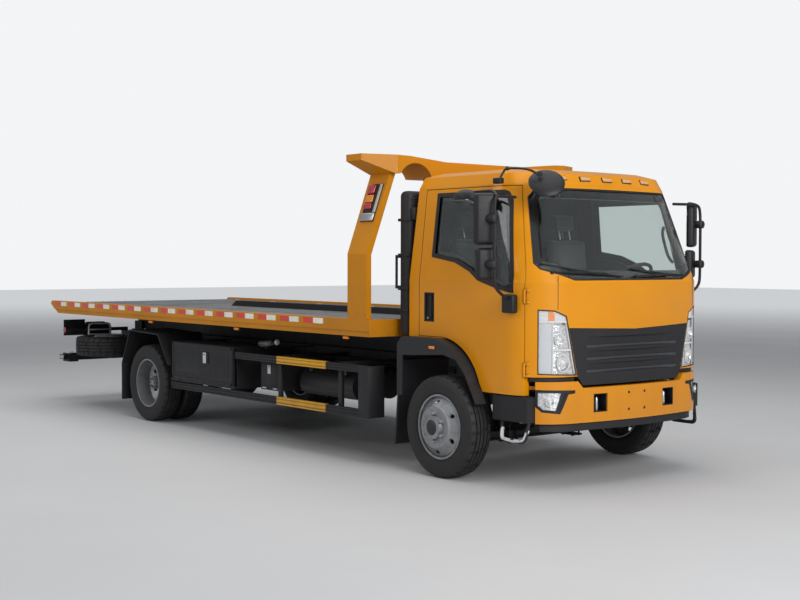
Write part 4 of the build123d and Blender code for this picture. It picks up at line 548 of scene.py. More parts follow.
# tyres: grooved tread, shoulder blocks, ringed sidewall
axleHeight = 0.4055
wheelbase = 4.7
tyre = {
    "radius": axleHeight, "steps": 96, "crown": 0.0035, "bead": ((0.244, 0.06), (0.244, -0.06)),
    "grooves": (-0.054, -0.018, 0.018, 0.054), "groove": 0.0055, "depth": 0.011, "pitch": 0.036,
    # notches: margin and depth, which faces count as shoulder (across, radius) and as rib, one in how many turns
    "notch": (0.0012, 0.006), "shoulder": (0.060, 0.097, 0.391, 3), "rib": (0.05, 0.401, 6),
    # across and radius of the sidewall, from the bead to the shoulder
    "side": ((0.0845, 0.2515), (0.0845, 0.259), (0.093, 0.262), (0.0985, 0.268), (0.0985, 0.271), (0.102, 0.273),
             (0.107, 0.288), (0.107, 0.291), (0.1095, 0.293), (0.1118, 0.310), (0.1128, 0.322), (0.1122, 0.338),
             (0.1098, 0.352), (0.1112, 0.354), (0.1095, 0.362), (0.1078, 0.364), (0.106, 0.375), (0.1025, 0.386),
             (0.096, 0.3935), (0.086, 0.3995)),
}


def treadHeight(across):  # the tread is a little lower towards its shoulders
    return tyre["radius"] - tyre["crown"] * (across / 0.08) ** 2


def tyreForm():
    profile = [(radius, -across) for across, radius in tyre["side"]]
    for groove in tyre["grooves"]:
        for offset, down in ((-1.0, 0.0), (-0.6, 1.0), (0.6, 1.0), (1.0, 0.0)):
            across = groove + offset * tyre["groove"]
            profile.append((treadHeight(across) - down * tyre["depth"], across))
        middle = groove + tyre["pitch"] / 2
        if middle < tyre["grooves"][-1]:
            profile.append((treadHeight(middle), middle))
    profile += [(radius, across) for across, radius in reversed(tyre["side"])]
    profile += tyre["bead"]
    part = spin(profile, tyre["steps"])
    nearest, farthest, above, every = tyre["shoulder"]
    ribReach, ribAbove, ribEvery = tyre["rib"]
    notches = []
    for face in part.faces:
        middle = face.calc_center_median()
        across, radius = abs(middle.z), middle.xy.length
        turn = int((atan2(middle.y, middle.x) / (2 * pi) + 1.0) * tyre["steps"]) % tyre["steps"]
        shoulder = nearest < across < farthest and radius > above
        rib = across < ribReach and radius > ribAbove and face.normal.xy.length > 0.9
        if (shoulder and turn % every == 0) or (rib and (turn + (middle.z > 0)) % ribEvery == 0):
            notches.append(face)
    margin, depth = tyre["notch"]
    bmesh.ops.inset_individual(part, faces=notches, thickness=margin, depth=-depth)
    return part


wheels = {
    # piece: node, body, the way it faces, the tyres' middles
    "frontTyreRight": ("front_tyre_right", "front_wheel_right", (1, 0, 0), ((-1.027, 0.0, axleHeight),)),
    "frontTyreLeft": ("front_tyre_left", "front_wheel_left", (1, 0, 0), ((1.027, 0.0, axleHeight),)),
    "rearTyresRight": ("rear_tyres_right", "rear_wheels_right", (1, 0, 0),
                       ((-1.102, wheelbase, axleHeight), (-0.846, wheelbase, axleHeight))),
    "rearTyresLeft": ("rear_tyres_left", "rear_wheels_left", (1, 0, 0),
                      ((1.102, wheelbase, axleHeight), (0.846, wheelbase, axleHeight))),
    "spareTyre": ("spare_tyre", "truck", (0, 0, 1), ((-0.830, 6.300, 0.710),)),
}
for name, (node, body, way, middles) in wheels.items():
    shape = Shape()
    for middle in middles:
        shape.take(tyreForm(), 0, turned(way, middle))
    shape.keep(name, body, ["tyre"], "tyre_rubber", [node], 40.0)

# nuts, caps, valves and weights on the wheels; x is for the left side, heights are from the axle
wheelTrim = {
    "circle": 0.111125,
    "front": {
        "body": "front_wheel", "station": 0.0, "foot": 1.166, "first": 30.0,
        # each nut's rods: start, end, radius, sides, bevel, look
        "nut": ((0.0, 0.006, 0.025, 24, 0.0015, 0), (0.0, 0.026, 0.0165, 6, 0.003, 0),
                (0.0, 0.034, 0.009, 24, 0.0015, 0)),
        # bolts: x, circle, count, first angle, size, height
        "bolts": (1.195, 0.046, 6, 30.0, 0.0065, 0.006),
        "valve": ((1.120, 0.03, 0.188), (1.150, 0.03, 0.180), (1.168, 0.032, 0.150)),
    },
    "rear": {
        "body": "rear_wheels", "station": wheelbase, "foot": 0.985, "first": 0.0,
        "nut": ((0.0, 0.006, 0.026, 24, 0.0015, 0), (0.0, 0.032, 0.019, 6, 0.003, 0),
                (0.03, 0.052, 0.0115, 24, 0.0015, 1)),
        "bolts": (1.139, 0.045, 8, 0.0, 0.008, 0.009),
        "valve": ((1.03, 0.06, 0.215), (1.08, 0.06, 0.205), (1.135, 0.062, 0.190)),
    },
    "cap": ((0.0, 0.012), (0.040, 0.012), (0.052, 0.006), (0.060, -0.006), (0.060, -0.02), (0.0, -0.02)),
    "capX": 1.199, "weightX": 1.1165, "weightRadius": 0.2395, "weights": (12, 97, 4),
}
for word, side in (("Right", -1), ("Left", 1)):
    for end in ("front", "rear"):
        trim = wheelTrim[end]
        station, outwards = trim["station"], Vector((side, 0, 0))
        shape = Shape()
        for y, z in around(6, wheelTrim["circle"], trim["first"]):
            foot = Vector((side * trim["foot"], station + y, axleHeight + z))
            for start, stop, radius, sides, bevel, look in trim["nut"]:
                shape.rod(foot + outwards * start, foot + outwards * stop, radius, radius, sides, bevel, look)
        x, circle, count, first, size, height = trim["bolts"]
        for y, z in around(count, circle, first):
            shape.bolt((side * x, station + y, axleHeight + z), outwards, size, height, 1)
        shape.pipe([(side * x, station + y, axleHeight + z) for x, y, z in trim["valve"]], 0.0045, 2)
        if end == "front":
            shape.spun(wheelTrim["cap"], 48, turned(outwards, (side * wheelTrim["capX"], 0, axleHeight)), 1, False)
            for angle in row(*wheelTrim["weights"]):
                shape.block((-0.004, -0.018, 0.0), (0.004, 0.018, 0.006), 0.002, 2,
                            placed((side * wheelTrim["weightX"], 0, axleHeight), angle, "X")
                            @ Matrix.Translation((0, 0, wheelTrim["weightRadius"])))
        shape.keep(f"{end}Nuts{word}", f"{trim['body']}_{word.lower()}", ["wheel", "hub", "bright"], "silver_metal")
print("wheels made")


# the cab's front in plan: a flat bow between the corners, then round corners
cabFront = {"half": 1.0, "corner": -0.985, "bow": 0.045, "radius": 0.35}
bumperFront = {"half": 0.99, "corner": -1.01, "bow": 0.045, "radius": 0.38}


def frontY(x, plan=cabFront):
    flat = plan["half"] - plan["radius"]
    if abs(x) <= flat:
        return plan["corner"] - plan["bow"] * (1.0 - (x / flat) ** 2)
    across = min(abs(x) - flat, plan["radius"])
    return plan["corner"] + plan["radius"] - sqrt(plan["radius"] ** 2 - across ** 2)


def border(part, width, depth, wall):  # a band along the rim of a skin
    bmesh.ops.dissolve_limit(part, angle_limit=radians(0.4), verts=part.verts, edges=part.edges)
    rim = bmesh.ops.inset_region(part, faces=part.faces, thickness=width, use_boundary=True, use_even_offset=True)
    inner = [face for face in part.faces if face not in set(rim["faces"])]
    bmesh.ops.delete(part, geom=inner, context="FACES")
    return shifted(part, depth, wall)


# headlamps: a clear cover over a plain outer band, two facetted reflectors and the indicator's white top;
# fog lamps: a silver lens in the outer half, a black wing towards the middle
headlamp = {
    "low": 0.82,  # above it a face belongs to the headlamp, below it to the fog lamp
    # x of the band's inner edge, heights of the divider's middle, the reflector's top and the indicator's foot
    "band": 0.812, "divider": 1.048, "reflectorTop": 1.232, "topLow": 1.262,
    # x, z, radius of the two bulbs' bowls, and the stretch that makes the lower one an oval
    "bowls": ((0.752, 1.128, 0.040, 1.0), (0.722, 0.950, 0.050, 1.25)),
    # the amber's two edges in x; the ends of the white strip, x and z
    "amber": (0.800, 0.842), "strip": ((0.618, 0.868), (0.712, 1.292)),
    # x and slant of the fog lamp's parting; its bulb's place and the bowl's radius
    "fogSplit": 0.778, "fogSlant": 0.30, "fogBulb": (0.838, -0.940, 0.664, 0.030),
}
lampLooks = ["clear", "housing", "reflector", "amber", "bulb", "white", "lampBand", "facets"]
lampLook = lampLooks.index


# cutting planes, as a point and the way that is cut off: over and under a height, beyond and within an x
def over(height):
    return (0, 0, height), (0, 0, 1)


def under(height):
    return (0, 0, height), (0, 0, -1)


for word, side in (("Right", -1), ("Left", 1)):
    def lampFaces(planes, upper):  # the lamp's outer face, cut back by planes
        return trimmed(skin("front_lamps", (side * 0.4, -0.9, 0.0), 0.5, lambda middle: middle.x * side > 0
                            and (middle.z > headlamp["low"]) == upper), *planes)

    def beyondX(place):
        return (side * place, 0, 0), (side, 0, 0)

    def withinX(place):
        return (side * place, 0, 0), (-side, 0, 0)

    band, divider, top = headlamp["band"], headlamp["divider"], headlamp["topLow"]
    amberNear, amberFar = headlamp["amber"]
    foot, slant = Vector((side * headlamp["fogSplit"], 0, 0.65)), Vector((side, 0, headlamp["fogSlant"]))
    shape = Shape()
    shape.take(border(lampFaces((), True), 0.008, -0.0025, 0.003), lampLook("housing"))
    shape.take(border(lampFaces((), False), 0.020, -0.003, 0.004), lampLook("housing"))
    for look, depth, wall, upper, planes in (
            ("clear", -0.003, 0.002, True, ()),
            ("reflector", -0.040, 0.003, True, ()),
            ("lampBand", -0.016, 0.004, True, (withinX(band), over(top - 0.006))),
            ("white", -0.014, 0.004, True, (under(top),)),
            ("amber", -0.010, 0.003, True, (under(top + 0.004), withinX(amberNear), beyondX(amberFar))),
            ("white", -0.008, 0.004, True, (under(top - 0.010), over(top + 0.004))),
            ("facets", -0.026, 0.004, True, (beyondX(band), under(divider + 0.008), over(headlamp["reflectorTop"]))),
            ("facets", -0.026, 0.004, True, (beyondX(band), over(divider - 0.008))),
            ("white", -0.012, 0.006, True, (beyondX(band), under(divider - 0.008), over(divider + 0.008))),
            ("white", -0.010, 0.006, True, (withinX(band - 0.004), beyondX(band + 0.004), over(top - 0.010))),
            ("housing", -0.034, 0.004, False, ()),
            ("clear", -0.006, 0.002, False, ((foot, -slant),)),
            ("facets", -0.016, 0.003, False, ((foot, -slant),)),
            ("housing", -0.007, 0.003, False, ((foot, slant),))):
        shape.take(shifted(lampFaces(planes, upper), depth, wall), lampLook(look))
    for x, z, radius, wide in headlamp["bowls"]:
        place = turned((side * 0.25, -1.0, 0.0), (side * x, frontY(x) + 0.026, z)) @ Matrix.Diagonal((1, wide, 1, 1))
        bowl = [(0.010, -0.008), (radius * 0.5, -0.004), (radius * 0.85, 0.006), (radius, 0.014),
                (radius + 0.004, 0.014), (radius + 0.003, 0.004), (radius * 0.5, -0.010), (0.010, -0.012)]
        ring = [(radius, 0.012), (radius + 0.006, 0.012), (radius + 0.006, 0.016), (radius, 0.016)]
        shape.spun(bowl, 28, place, lampLook("reflector"))
        shape.spun(ring, 28, place, lampLook("white"))
        shape.ball(place @ Vector((0, 0, 0.004)), radius * 0.42, lampLook("bulb"))
    start, end = (Vector(point) for point in headlamp["strip"])
    strip = [start.lerp(end, share) for share in (0.0, 0.25, 0.5, 0.75, 1.0)]
    shape.pipe([(side * x, frontY(x) + 0.012, z) for x, z in strip], 0.006, lampLook("white"))
    x, y, z, radius = headlamp["fogBulb"]
    place = turned((side * 0.45, -0.9, 0.0), (side * x, y, z))
    bowl = [(0.008, -0.004), (radius * 0.7, 0.0), (radius, 0.008), (radius + 0.004, 0.008), (radius * 0.7, -0.006),
            (0.008, -0.008)]
    shape.spun(bowl, 28, place, lampLook("reflector"))
    shape.ball(place @ Vector((0, 0, 0.003)), 0.014, lampLook("bulb"))
    shape.keep(f"headlamp{word}", "truck", lampLooks, "lamp_lens", ["front_lamps"] if side < 0 else (), 40.0)

# grille: glossy panels in its three openings, each with a paler lip at its lower edge
grillePanels = {"half": 0.520, "openings": ((0.868, 0.940), (0.962, 1.034), (1.056, 1.140)), "lip": 0.022}
shape = Shape()
half = grillePanels["half"]
for look, (low, high) in zip((2, 1, 1), grillePanels["openings"]):
    shape.block((-half, -0.998, low - 0.002), (half, -0.990, high + 0.002), 0.001, look)
    shape.block((-half + 0.001, -1.008, low), (half - 0.001, -0.996, low + grillePanels["lip"]), 0.003, 2)
    for x in (0.02 - half, half - 0.02):
        shape.rod((x, -0.999, high - 0.02), (x, -1.004, high - 0.02), 0.006, sides=16, bevel=0.0005)
shape.keep("grillePanels", "truck", ["plastic", "glossBlack", "grilleGrey"], "black_plastic")

# windscreen: dark printed border and top band, rubber seal
screen = {
    "outward": (0.0, -1.0, 0.25), "border": 0.082, "bandLow": 2.190, "seal": 0.016, "print": (-0.0058, -0.0012),
    # how far the cab's plan changes from the screen's foot to its top
    "foot": 1.55, "rise": 0.75, "top": {"half": -0.085, "corner": 0.28, "bow": -0.005},
}


def screenSkin():
    return skin("windscreen", screen["outward"], 0.35)


shape = Shape()
shape.take(border(screenSkin(), screen["border"], *screen["print"]), 0)
shape.take(shifted(trimmed(screenSkin(), under(screen["bandLow"])), *screen["print"]), 0)
shape.take(border(screenSkin(), screen["seal"], 0.0015, 0.004), 1)
shape.keep("screenBorder", "truck", ["frit", "seal"], "black_plastic")

wipers = {
    # pivot, elbow, blade start, blade end: x and height
    "Right": ((-0.80, 1.625), (-0.30, 1.612), (-0.86, 1.690), (-0.12, 1.592)),
    "Left": ((0.02, 1.592), (0.46, 1.602), (-0.02, 1.655), (0.66, 1.600)),
}


def onScreen(point, lift=0.0):  # a point on the windscreen's outer face, lifted off it
    x, z = point
    share = (z - screen["foot"]) / screen["rise"]
    plan = {key: value + share * screen["top"].get(key, 0.0) for key, value in cabFront.items()}
    return Vector((x, frontY(x, plan) + 0.010 - lift, z + lift * 0.35))


for word, (pivot, elbow, start, end) in wipers.items():
    pivot, elbow, start, end = (Vector(point) for point in (pivot, elbow, start, end))
    shape = Shape()
    foot = onScreen(pivot, 0.004)
    shape.rod(foot - Vector((0, -0.02, 0.012)), foot + Vector((0, -0.020, 0.006)), 0.016, 0.013)
    shape.pipe([foot + Vector((0, -0.014, 0.004)), onScreen((pivot + elbow) / 2, 0.028), onScreen(elbow, 0.022)],
               0.0065, 0, sides=8)
    blade = [onScreen(start.lerp(end, share) - Vector((0, 0.012 * sin(pi * share))), 0.012)
             for share in (0.0, 0.25, 0.5, 0.75, 1.0)]
    shape.pipe(blade, 0.0055, 0, sides=8)
    shape.pipe([point + Vector((0, 0.006, -0.003)) for point in blade], 0.0028, 1, sides=8)
    shape.keep(f"wiper{word}", "truck", ["housing", "seal"], "black_plastic")

# front panel: upright seams under the screen
seams = {"x": 0.778, "heights": (1.350, 1.430, 1.520, 1.600), "radius": 0.0022}
shape = Shape()
for side in (-1, 1):
    shape.pipe([(side * seams["x"], frontY(seams["x"]) - 0.0002, z) for z in seams["heights"]], seams["radius"],
               smooth=False)
shape.keep("panelSeams", "truck", ["seal"], "black_plastic")

# marker lamps on the roof's brow, following its bow
markers = {"x": (-0.48, -0.24, 0.0, 0.24, 0.48), "y": -0.722, "z": 2.352, "bow": 0.040, "reach": 0.55, "tilt": 24.0,
           "turn": 4.6}
shape = Shape()
for x in markers["x"]:
    share = x / markers["reach"]
    place = placed((x, markers["y"] + markers["bow"] * share ** 2, markers["z"]), -markers["tilt"], "X") \
        @ placed((0, 0, 0), markers["turn"] * share, "Z")
    shape.block((-0.058, -0.004, -0.021), (0.058, 0.010, 0.021), 0.004, 1, place)
    shape.block((-0.050, -0.013, -0.015), (0.050, 0.0, 0.015), 0.006, 0, place, 3)
shape.keep("roofMarkers", "truck", ["paleAmber", "housing"], "amber_lens")


def frameBars(low, high, left, right, width):  # the four bars of a rectangular frame, as corners of two axes
    return (((left, low), (left + width, high)), ((right - width, low), (right, high)),
            ((left, low), (right, low + width)), ((left, high - width), (right, high)))


# bumper: sleeves in the tow windows with their pins, four plugged holes
towWindow = {"x": 0.389, "z": 0.638, "half": 0.070, "wall": 0.006, "deep": 0.090,
             "plugsX": (-0.09, 0.09), "plugsZ": (0.572, 0.702)}
shape = Shape()
z, half = towWindow["z"], towWindow["half"]
for side in (-1, 1):
    x = side * towWindow["x"]
    front = frontY(x, bumperFront) + 0.004
    for (lowX, lowZ), (highX, highZ) in frameBars(z - half, z + half, x - half, x + half, towWindow["wall"]):
        shape.block((lowX, front, lowZ), (highX, front + towWindow["deep"], highZ), 0.0015, 0)
    shape.block((x - half, front + 0.086, z - half), (x + half, front + 0.092, z + half), 0.001, 0)
    shape.rod((x, front + 0.045, z - half + 0.006), (x, front + 0.045, z + 0.030), 0.016, finish=1)
    shape.ball((x, front + 0.045, z + 0.034), 0.014, 1, (1, 1, 0.6))
for x in towWindow["plugsX"]:
    for z in towWindow["plugsZ"]:
        y = -1.055 + 0.045 * (x / 0.61) ** 2
        shape.rod((x, y + 0.004, z), (x, y - 0.0012, z), 0.011, sides=20, bevel=0.0005)
shape.keep("towSleeves", "truck", ["housing", "bright"], "black_plastic")
print("cab front made")

# doors: handle in its recess, lock, window seal and inner lining
doorTrim = {
    "handle": (0.205, 0.330, 1.222, 1.458), "edge": 0.012, "lock": (0.300, 1.250),
    "grip": ((0.984, 0.252, 1.245), (1.000, 0.250, 1.262), (1.002, 0.247, 1.34), (1.000, 0.250, 1.418),
             (0.984, 0.252, 1.435)),
    # width, depth, look
    "bands": ((0.034, 0.0085, 0), (0.062, -0.014, 1)),
}
for word, side in (("right", -1), ("left", 1)):
    shape = Shape()
    front, rear, low, high = doorTrim["handle"]
    shape.block((0.9785, front + 0.001, low + 0.001), (0.984, rear - 0.001, high - 0.001), 0.001, 0)
    for near, far in frameBars(low, high, front, rear, doorTrim["edge"]):
        shape.block((0.980, *near), (1.0015, *far), 0.004, 0)
    shape.pipe(doorTrim["grip"], 0.0085, 1)
    shape.rod((0.982, *doorTrim["lock"]), (0.990, *doorTrim["lock"]), 0.010, finish=2)
    shape.facing(side)
    for width, depth, look in doorTrim["bands"]:
        shape.take(border(skin(f"door_glass_{word}", (side, 0, 0)), width, depth, 0.004), look)
    shape.keep(f"doorTrim_{word}", f"door_{word}", ["seal", "housing", "bright"], "black_plastic")
print("doors made")

# mirrors: bent tube arm, rounded housings turned outwards with their glass to the rear, pivot discs in front
mirrorArm = {
    "tube": 0.012, "turn": 28.0, "size": (0.178, 0.066), "y": -0.612, "tubeX": 1.192, "disc": (0.034, 0.030),
    "path": ((1.010, -0.700, 1.400), (1.100, -0.704, 1.455), (1.186, -0.708, 1.515), (1.192, -0.708, 1.620),
             (1.192, -0.708, 1.900), (1.192, -0.708, 2.100), (1.178, -0.704, 2.190), (1.080, -0.690, 2.194),
             (0.915, -0.640, 2.194)),
    # low, high, x of the middle
    "housings": ((1.829, 2.222, 1.200), (1.565, 1.812, 1.180)),
}
lookDown = {
    "middle": (1.100, -0.295, 2.190), "half": (0.086, 0.120, 0.070), "tilt": 16.0, "cut": -0.42,
    "arm": ((1.160, -0.700, 2.192), (1.110, -0.620, 2.236), (1.080, -0.520, 2.244), (1.100, -0.295, 2.235)),
}
for word, side in (("right", -1), ("left", 1)):
    shape = Shape()
    shape.pipe(mirrorArm["path"], mirrorArm["tube"], bend=6)
    shape.block((0.996, -0.762, 1.322), (1.058, -0.638, 1.463), 0.016, 0, segments=4)
    (wide, deep), tubeX = mirrorArm["size"], mirrorArm["tubeX"]
    for low, high, x in mirrorArm["housings"]:
        tall, middle = high - low, (low + high) / 2
        place = placed((x, mirrorArm["y"], middle), mirrorArm["turn"], "Z")
        part = cube((wide, deep, tall))
        bmesh.ops.scale(part, vec=(0.84, 1.0, 0.94), verts=[v for v in part.verts if v.co.y < 0])
        soften(part, part.edges, 0.024, 5)
        shape.take(part, 0, place)
        glassX, glassZ = wide / 2 - 0.012, tall / 2 - 0.012
        shape.block((-glassX, deep / 2 - 0.003, -glassZ), (glassX, deep / 2 + 0.0005, glassZ), 0.0015, 1, place)
        shape.rod((tubeX, -0.730, middle), (tubeX, -0.640, middle), *mirrorArm["disc"], 28, 0.004, 2)
        shape.block((tubeX - 0.020, -0.734, middle - 0.032), (tubeX + 0.020, -0.690, middle + 0.032), 0.008, 0,
                    segments=3)
    if side < 0:  # the look-down mirror over the right door
        shape.pipe(lookDown["arm"], 0.010)
        part = bmesh.new()
        bmesh.ops.create_uvsphere(part, u_segments=28, v_segments=14, radius=1.0)
        trimmed(part, under(lookDown["cut"]))
        bmesh.ops.contextual_create(part, geom=[e for e in part.edges if e.is_boundary])
        bmesh.ops.scale(part, vec=lookDown["half"], verts=part.verts)
        place = placed(lookDown["middle"], -lookDown["tilt"], "Y")
        shape.take(part, 0, place)
        foot = lookDown["cut"] * lookDown["half"][2]
        shape.block((-0.060, -0.086, foot - 0.0022), (0.060, 0.086, foot + 0.001), 0.0008, 1, place)
    shape.facing(side)
    shape.keep(f"mirror{word.capitalize()}", f"door_{word}", ["housing", "mirror", "flare"], "black_plastic",
               [f"mirror_{word}"])

# the round mirror at the roof's corner: a shallow dish on a bent arm
roundMirror = {
    "place": (-0.858, -0.914, 2.290), "look": (-0.46, -0.58, 0.67), "radius": 0.136,
    "arm": ((-0.950, -0.500, 2.330), (-0.905, -0.500, 2.402), (-0.880, -0.505, 2.418), (-0.930, -0.640, 2.412),
            (-0.975, -0.820, 2.396), (-0.962, -0.888, 2.372), (-0.915, -0.900, 2.340)),
    "dish": ((0.0, 0.034), (0.035, 0.033), (0.070, 0.030), (0.105, 0.023), (0.126, 0.013)),
}
shape = Shape()
radius = roundMirror["radius"]
place = turned(roundMirror["look"], roundMirror["place"])
shape.spun([*roundMirror["dish"], (radius, 0.005), (radius, 0.002), (radius - 0.004, 0.0), (0.0, 0.0)], 48, place, 0,
           False)
shape.spun([(0.0, -0.0004), (radius - 0.008, -0.0004), (radius - 0.008, 0.001), (0.0, 0.001)], 48, place, 1, False)
shape.pipe(roundMirror["arm"], 0.009, bend=6)
shape.rod((-0.905, -0.898, 2.345), (-0.925, -0.900, 2.375), 0.018, 0.014)
shape.ball((-0.868, -0.502, 2.420), 0.017, 0)
shape.block((-0.985, -0.540, 2.300), (-0.935, -0.460, 2.345), 0.008, 0, segments=3)
shape.keep("roundMirror", "truck", ["housing", "mirror"], "black_plastic", ["roof_mirror"])

# duct behind the cab: rounded box section with a louvred head, clamps, brackets and a grab bar
duct = {"size": (0.225, 0.130, 1.180), "middle": (-0.8725, 0.625, 1.700), "corner": 0.050, "top": 0.045,
        "louvres": (2.075, 0.018, 9), "clamps": (1.300, 1.480, 1.760, 2.050), "brackets": (1.250, 2.050)}
shape = Shape()
part = cube(duct["size"], duct["middle"])
soften(part, [e for e in part.edges if abs(e.verts[0].co.z - e.verts[1].co.z) > 1.0], duct["corner"], 6)
soften(part, [e for e in part.edges if all(v.co.z > 2.28 for v in e.verts)], duct["top"], 5)
shape.take(part, 0)
for z in row(*duct["louvres"]):
    for near, far in ((0.5565, 0.562), (0.6885, 0.6935)):
        shape.block((-0.955, near, z), (-0.790, far, z + 0.007), 0.0015, 0)
for z in duct["clamps"]:
    shape.block((-0.988, 0.5575, z - 0.012), (-0.757, 0.6925, z + 0.012), 0.004, 0)
for z in duct["brackets"]:
    shape.block((-0.960, 0.5205, z), (-0.785, 0.5615, z + 0.100), 0.006, 2)
for y, low, high, far in ((0.690, 1.480, 1.505, 0.740), (0.690, 1.735, 1.760, 0.740), (0.728, 1.480, 1.760, 0.742)):
    shape.block((-0.975, y, low), (-0.955, far, high), 0.003, 1)
shape.keep("intakeDuct", "truck", ["plastic", "cast", "frame"], "black_plastic", ["intake_stack"])
print("cab sides made")


# reflective tape along the bed's rails: red behind white, then a bare stretch
tape = {"run": (1.395, 0.3722, 15), "white": 0.152, "red": 0.150, "gap": 0.0008, "x": (1.2495, 1.2506),
        "z": (1.1675, 1.2155)}
shape = Shape()
(near, far), (low, high) = tape["x"], tape["z"]
for side in (-1, 1):
    for y in row(*tape["run"]):
        for start, length, look in ((y, tape["white"], 0), (y + tape["white"], tape["red"], 1)):
            shape.block((side * near, start + tape["gap"], low), (side * far, start + length - tape["gap"], high),
                        0.0004, look, segments=1)
shape.keep("reflectiveTape", "bed", ["tapeWhite", "tapeRed"], "bed_paint")

# marker lamps below the rails, and the lamps on the posts' leaning faces: red over amber, a clear strip in front,
# a silver foot
bedMarkers = {"y": (4.574, 2.859, 1.099), "x": (1.207, 1.235), "half": 0.040, "screws": 0.032}
postLamps = {
    "face": 1.250, "kink": 1.770, "lean": atan2(0.250, 0.690),
    # low, high, front, rear, start and end out from the face, bevel, look
    "pieces": ((2.036, 2.354, 0.811, 0.989, 0.000, 0.008, 0.003, 1),
               (2.270, 2.346, 0.898, 0.987, 0.006, 0.022, 0.007, 3),
               (2.196, 2.258, 0.890, 0.987, 0.006, 0.022, 0.007, 0),
               (2.140, 2.190, 0.890, 0.987, 0.006, 0.022, 0.007, 3),
               (2.110, 2.350, 0.813, 0.846, 0.006, 0.016, 0.007, 4),
               (2.040, 2.104, 0.812, 0.988, 0.006, 0.023, 0.007, 2)),
}
shape = Shape()
(near, far), half, lean = bedMarkers["x"], bedMarkers["half"], postLamps["lean"]
for side in (-1, 1):
    for y in bedMarkers["y"]:
        shape.block((side * near, y - half, 1.0735), (side * far, y + half, 1.0800), 0.0015, 1)
        shape.block((side * (near + 0.002), y - half + 0.003, 1.0485),
                    (side * (far - 0.002), y + half - 0.003, 1.0745), 0.007, 0, segments=4)
        for end in (y - bedMarkers["screws"], y + bedMarkers["screws"]):
            shape.rod((side * 1.221, end, 1.0745), (side * 1.221, end, 1.0475), 0.0032, sides=10, finish=2)
    for low, high, front, rear, start, out, bevel, look in postLamps["pieces"]:
        foot = side * (postLamps["face"] - tan(lean) * (low - postLamps["kink"]))
        shape.block((side * start, front, 0.0), (side * out, rear, (high - low) / cos(lean)), bevel, look,
                    Matrix.Translation((foot, 0, low)) @ Matrix.Rotation(-side * lean, 4, "Y"), 3)
shape.keep("bedLamps", "bed", ["amber", "housing", "bright", "red", "clearStrip"], "amber_lens", ["bed_lamps"])

# deck: lashing eyes let into it, weld seams, bolts along the tail's edge plate
deck = {
    "top": 1.200, "eyes": (1.75, 2.75, 3.75, 4.75, 5.75, 6.60), "eyeX": 1.080, "bar": 0.032,
    "ring": ((0.030, 0.0), (0.052, 0.0), (0.052, 0.0035), (0.048, 0.005), (0.034, 0.005), (0.030, 0.0035)),
    "seamX": 0.60, "seamRun": (0.745, 7.035), "crossSeams": (2.58, 4.06, 5.54), "seam": 0.003,
    "boltY": 6.985, "boltX": (-1.1, 0.1, 23),
}
shape = Shape()
top, seam = deck["top"], deck["seam"]
for side in (-1, 1):
    x = side * deck["eyeX"]
    for y in deck["eyes"]:
        place = turned((0, 0, 1), (x, y, top + 0.0006))
        shape.spun(deck["ring"], 28, place, 0)
        shape.spun([(0.0, 0.0), (0.031, 0.0), (0.031, 0.001), (0.0, 0.001)], 24, place, 1, False)
        shape.rod((x, y - deck["bar"], top + 0.0045), (x, y + deck["bar"], top + 0.0045), 0.0045, sides=12)
    x, (start, end) = side * deck["seamX"], deck["seamRun"]
    shape.block((x - seam, start, top - 0.0002), (x + seam, end, top + 0.0010), 0.0006, 1)
for y in deck["crossSeams"]:
    shape.block((-1.188, y - seam, top - 0.0002), (1.188, y + seam, top + 0.0011), 0.0006, 1)
for x in row(*deck["boltX"]):
    shape.bolt((x, deck["boltY"], top), (0, 0, 1), 0.007, 0.005)
shape.keep("deckFittings", "bed", ["bright", "hub"], "deck_steel")

# headboard: folded edges and ribs of the middle guard, foot plates and bolts
head = {"half": 0.506, "low": 1.2270, "high": 1.700, "front": 0.8365, "fold": 0.030, "ribs": (-0.255, 0.0, 0.255),
        "columns": 0.560, "columnBolts": ((-0.045, 0.856), (0.045, 0.856), (-0.045, 0.788), (0.045, 0.788)),
        "feet": (0.800, 0.910, 1.020)}
shape = Shape()
half, low, high, front, fold = (head[key] for key in ("half", "low", "high", "front", "fold"))
for z in (low, high - fold):
    shape.block((-half, front, z), (half, 0.862, z + fold), 0.004, 0)
for x in head["ribs"]:
    shape.block((x - 0.018, front, low + fold), (x + 0.018, 0.852, high - fold), 0.004, 0)
for side in (-1, 1):
    x = side * head["columns"]
    shape.block((x - 0.060, 0.780, 1.2005), (x + 0.060, 0.870, 1.212), 0.003, 0)
    for across, y in head["columnBolts"]:
        shape.bolt((x + across, y, 1.212), (0, 0, 1), 0.008, 0.007, 1)
    for y in head["feet"]:
        shape.bolt((side * 1.2490, y, 1.268), (side, 0, 0), 0.009, 0.006)
    shape.block((side * 1.180 - 0.055, 0.800, 1.2255), (side * 1.180 + 0.015, 1.020, 1.237), 0.003, 0)
shape.keep("headboardRibs", "bed", ["bed", "bright"], "bed_paint")

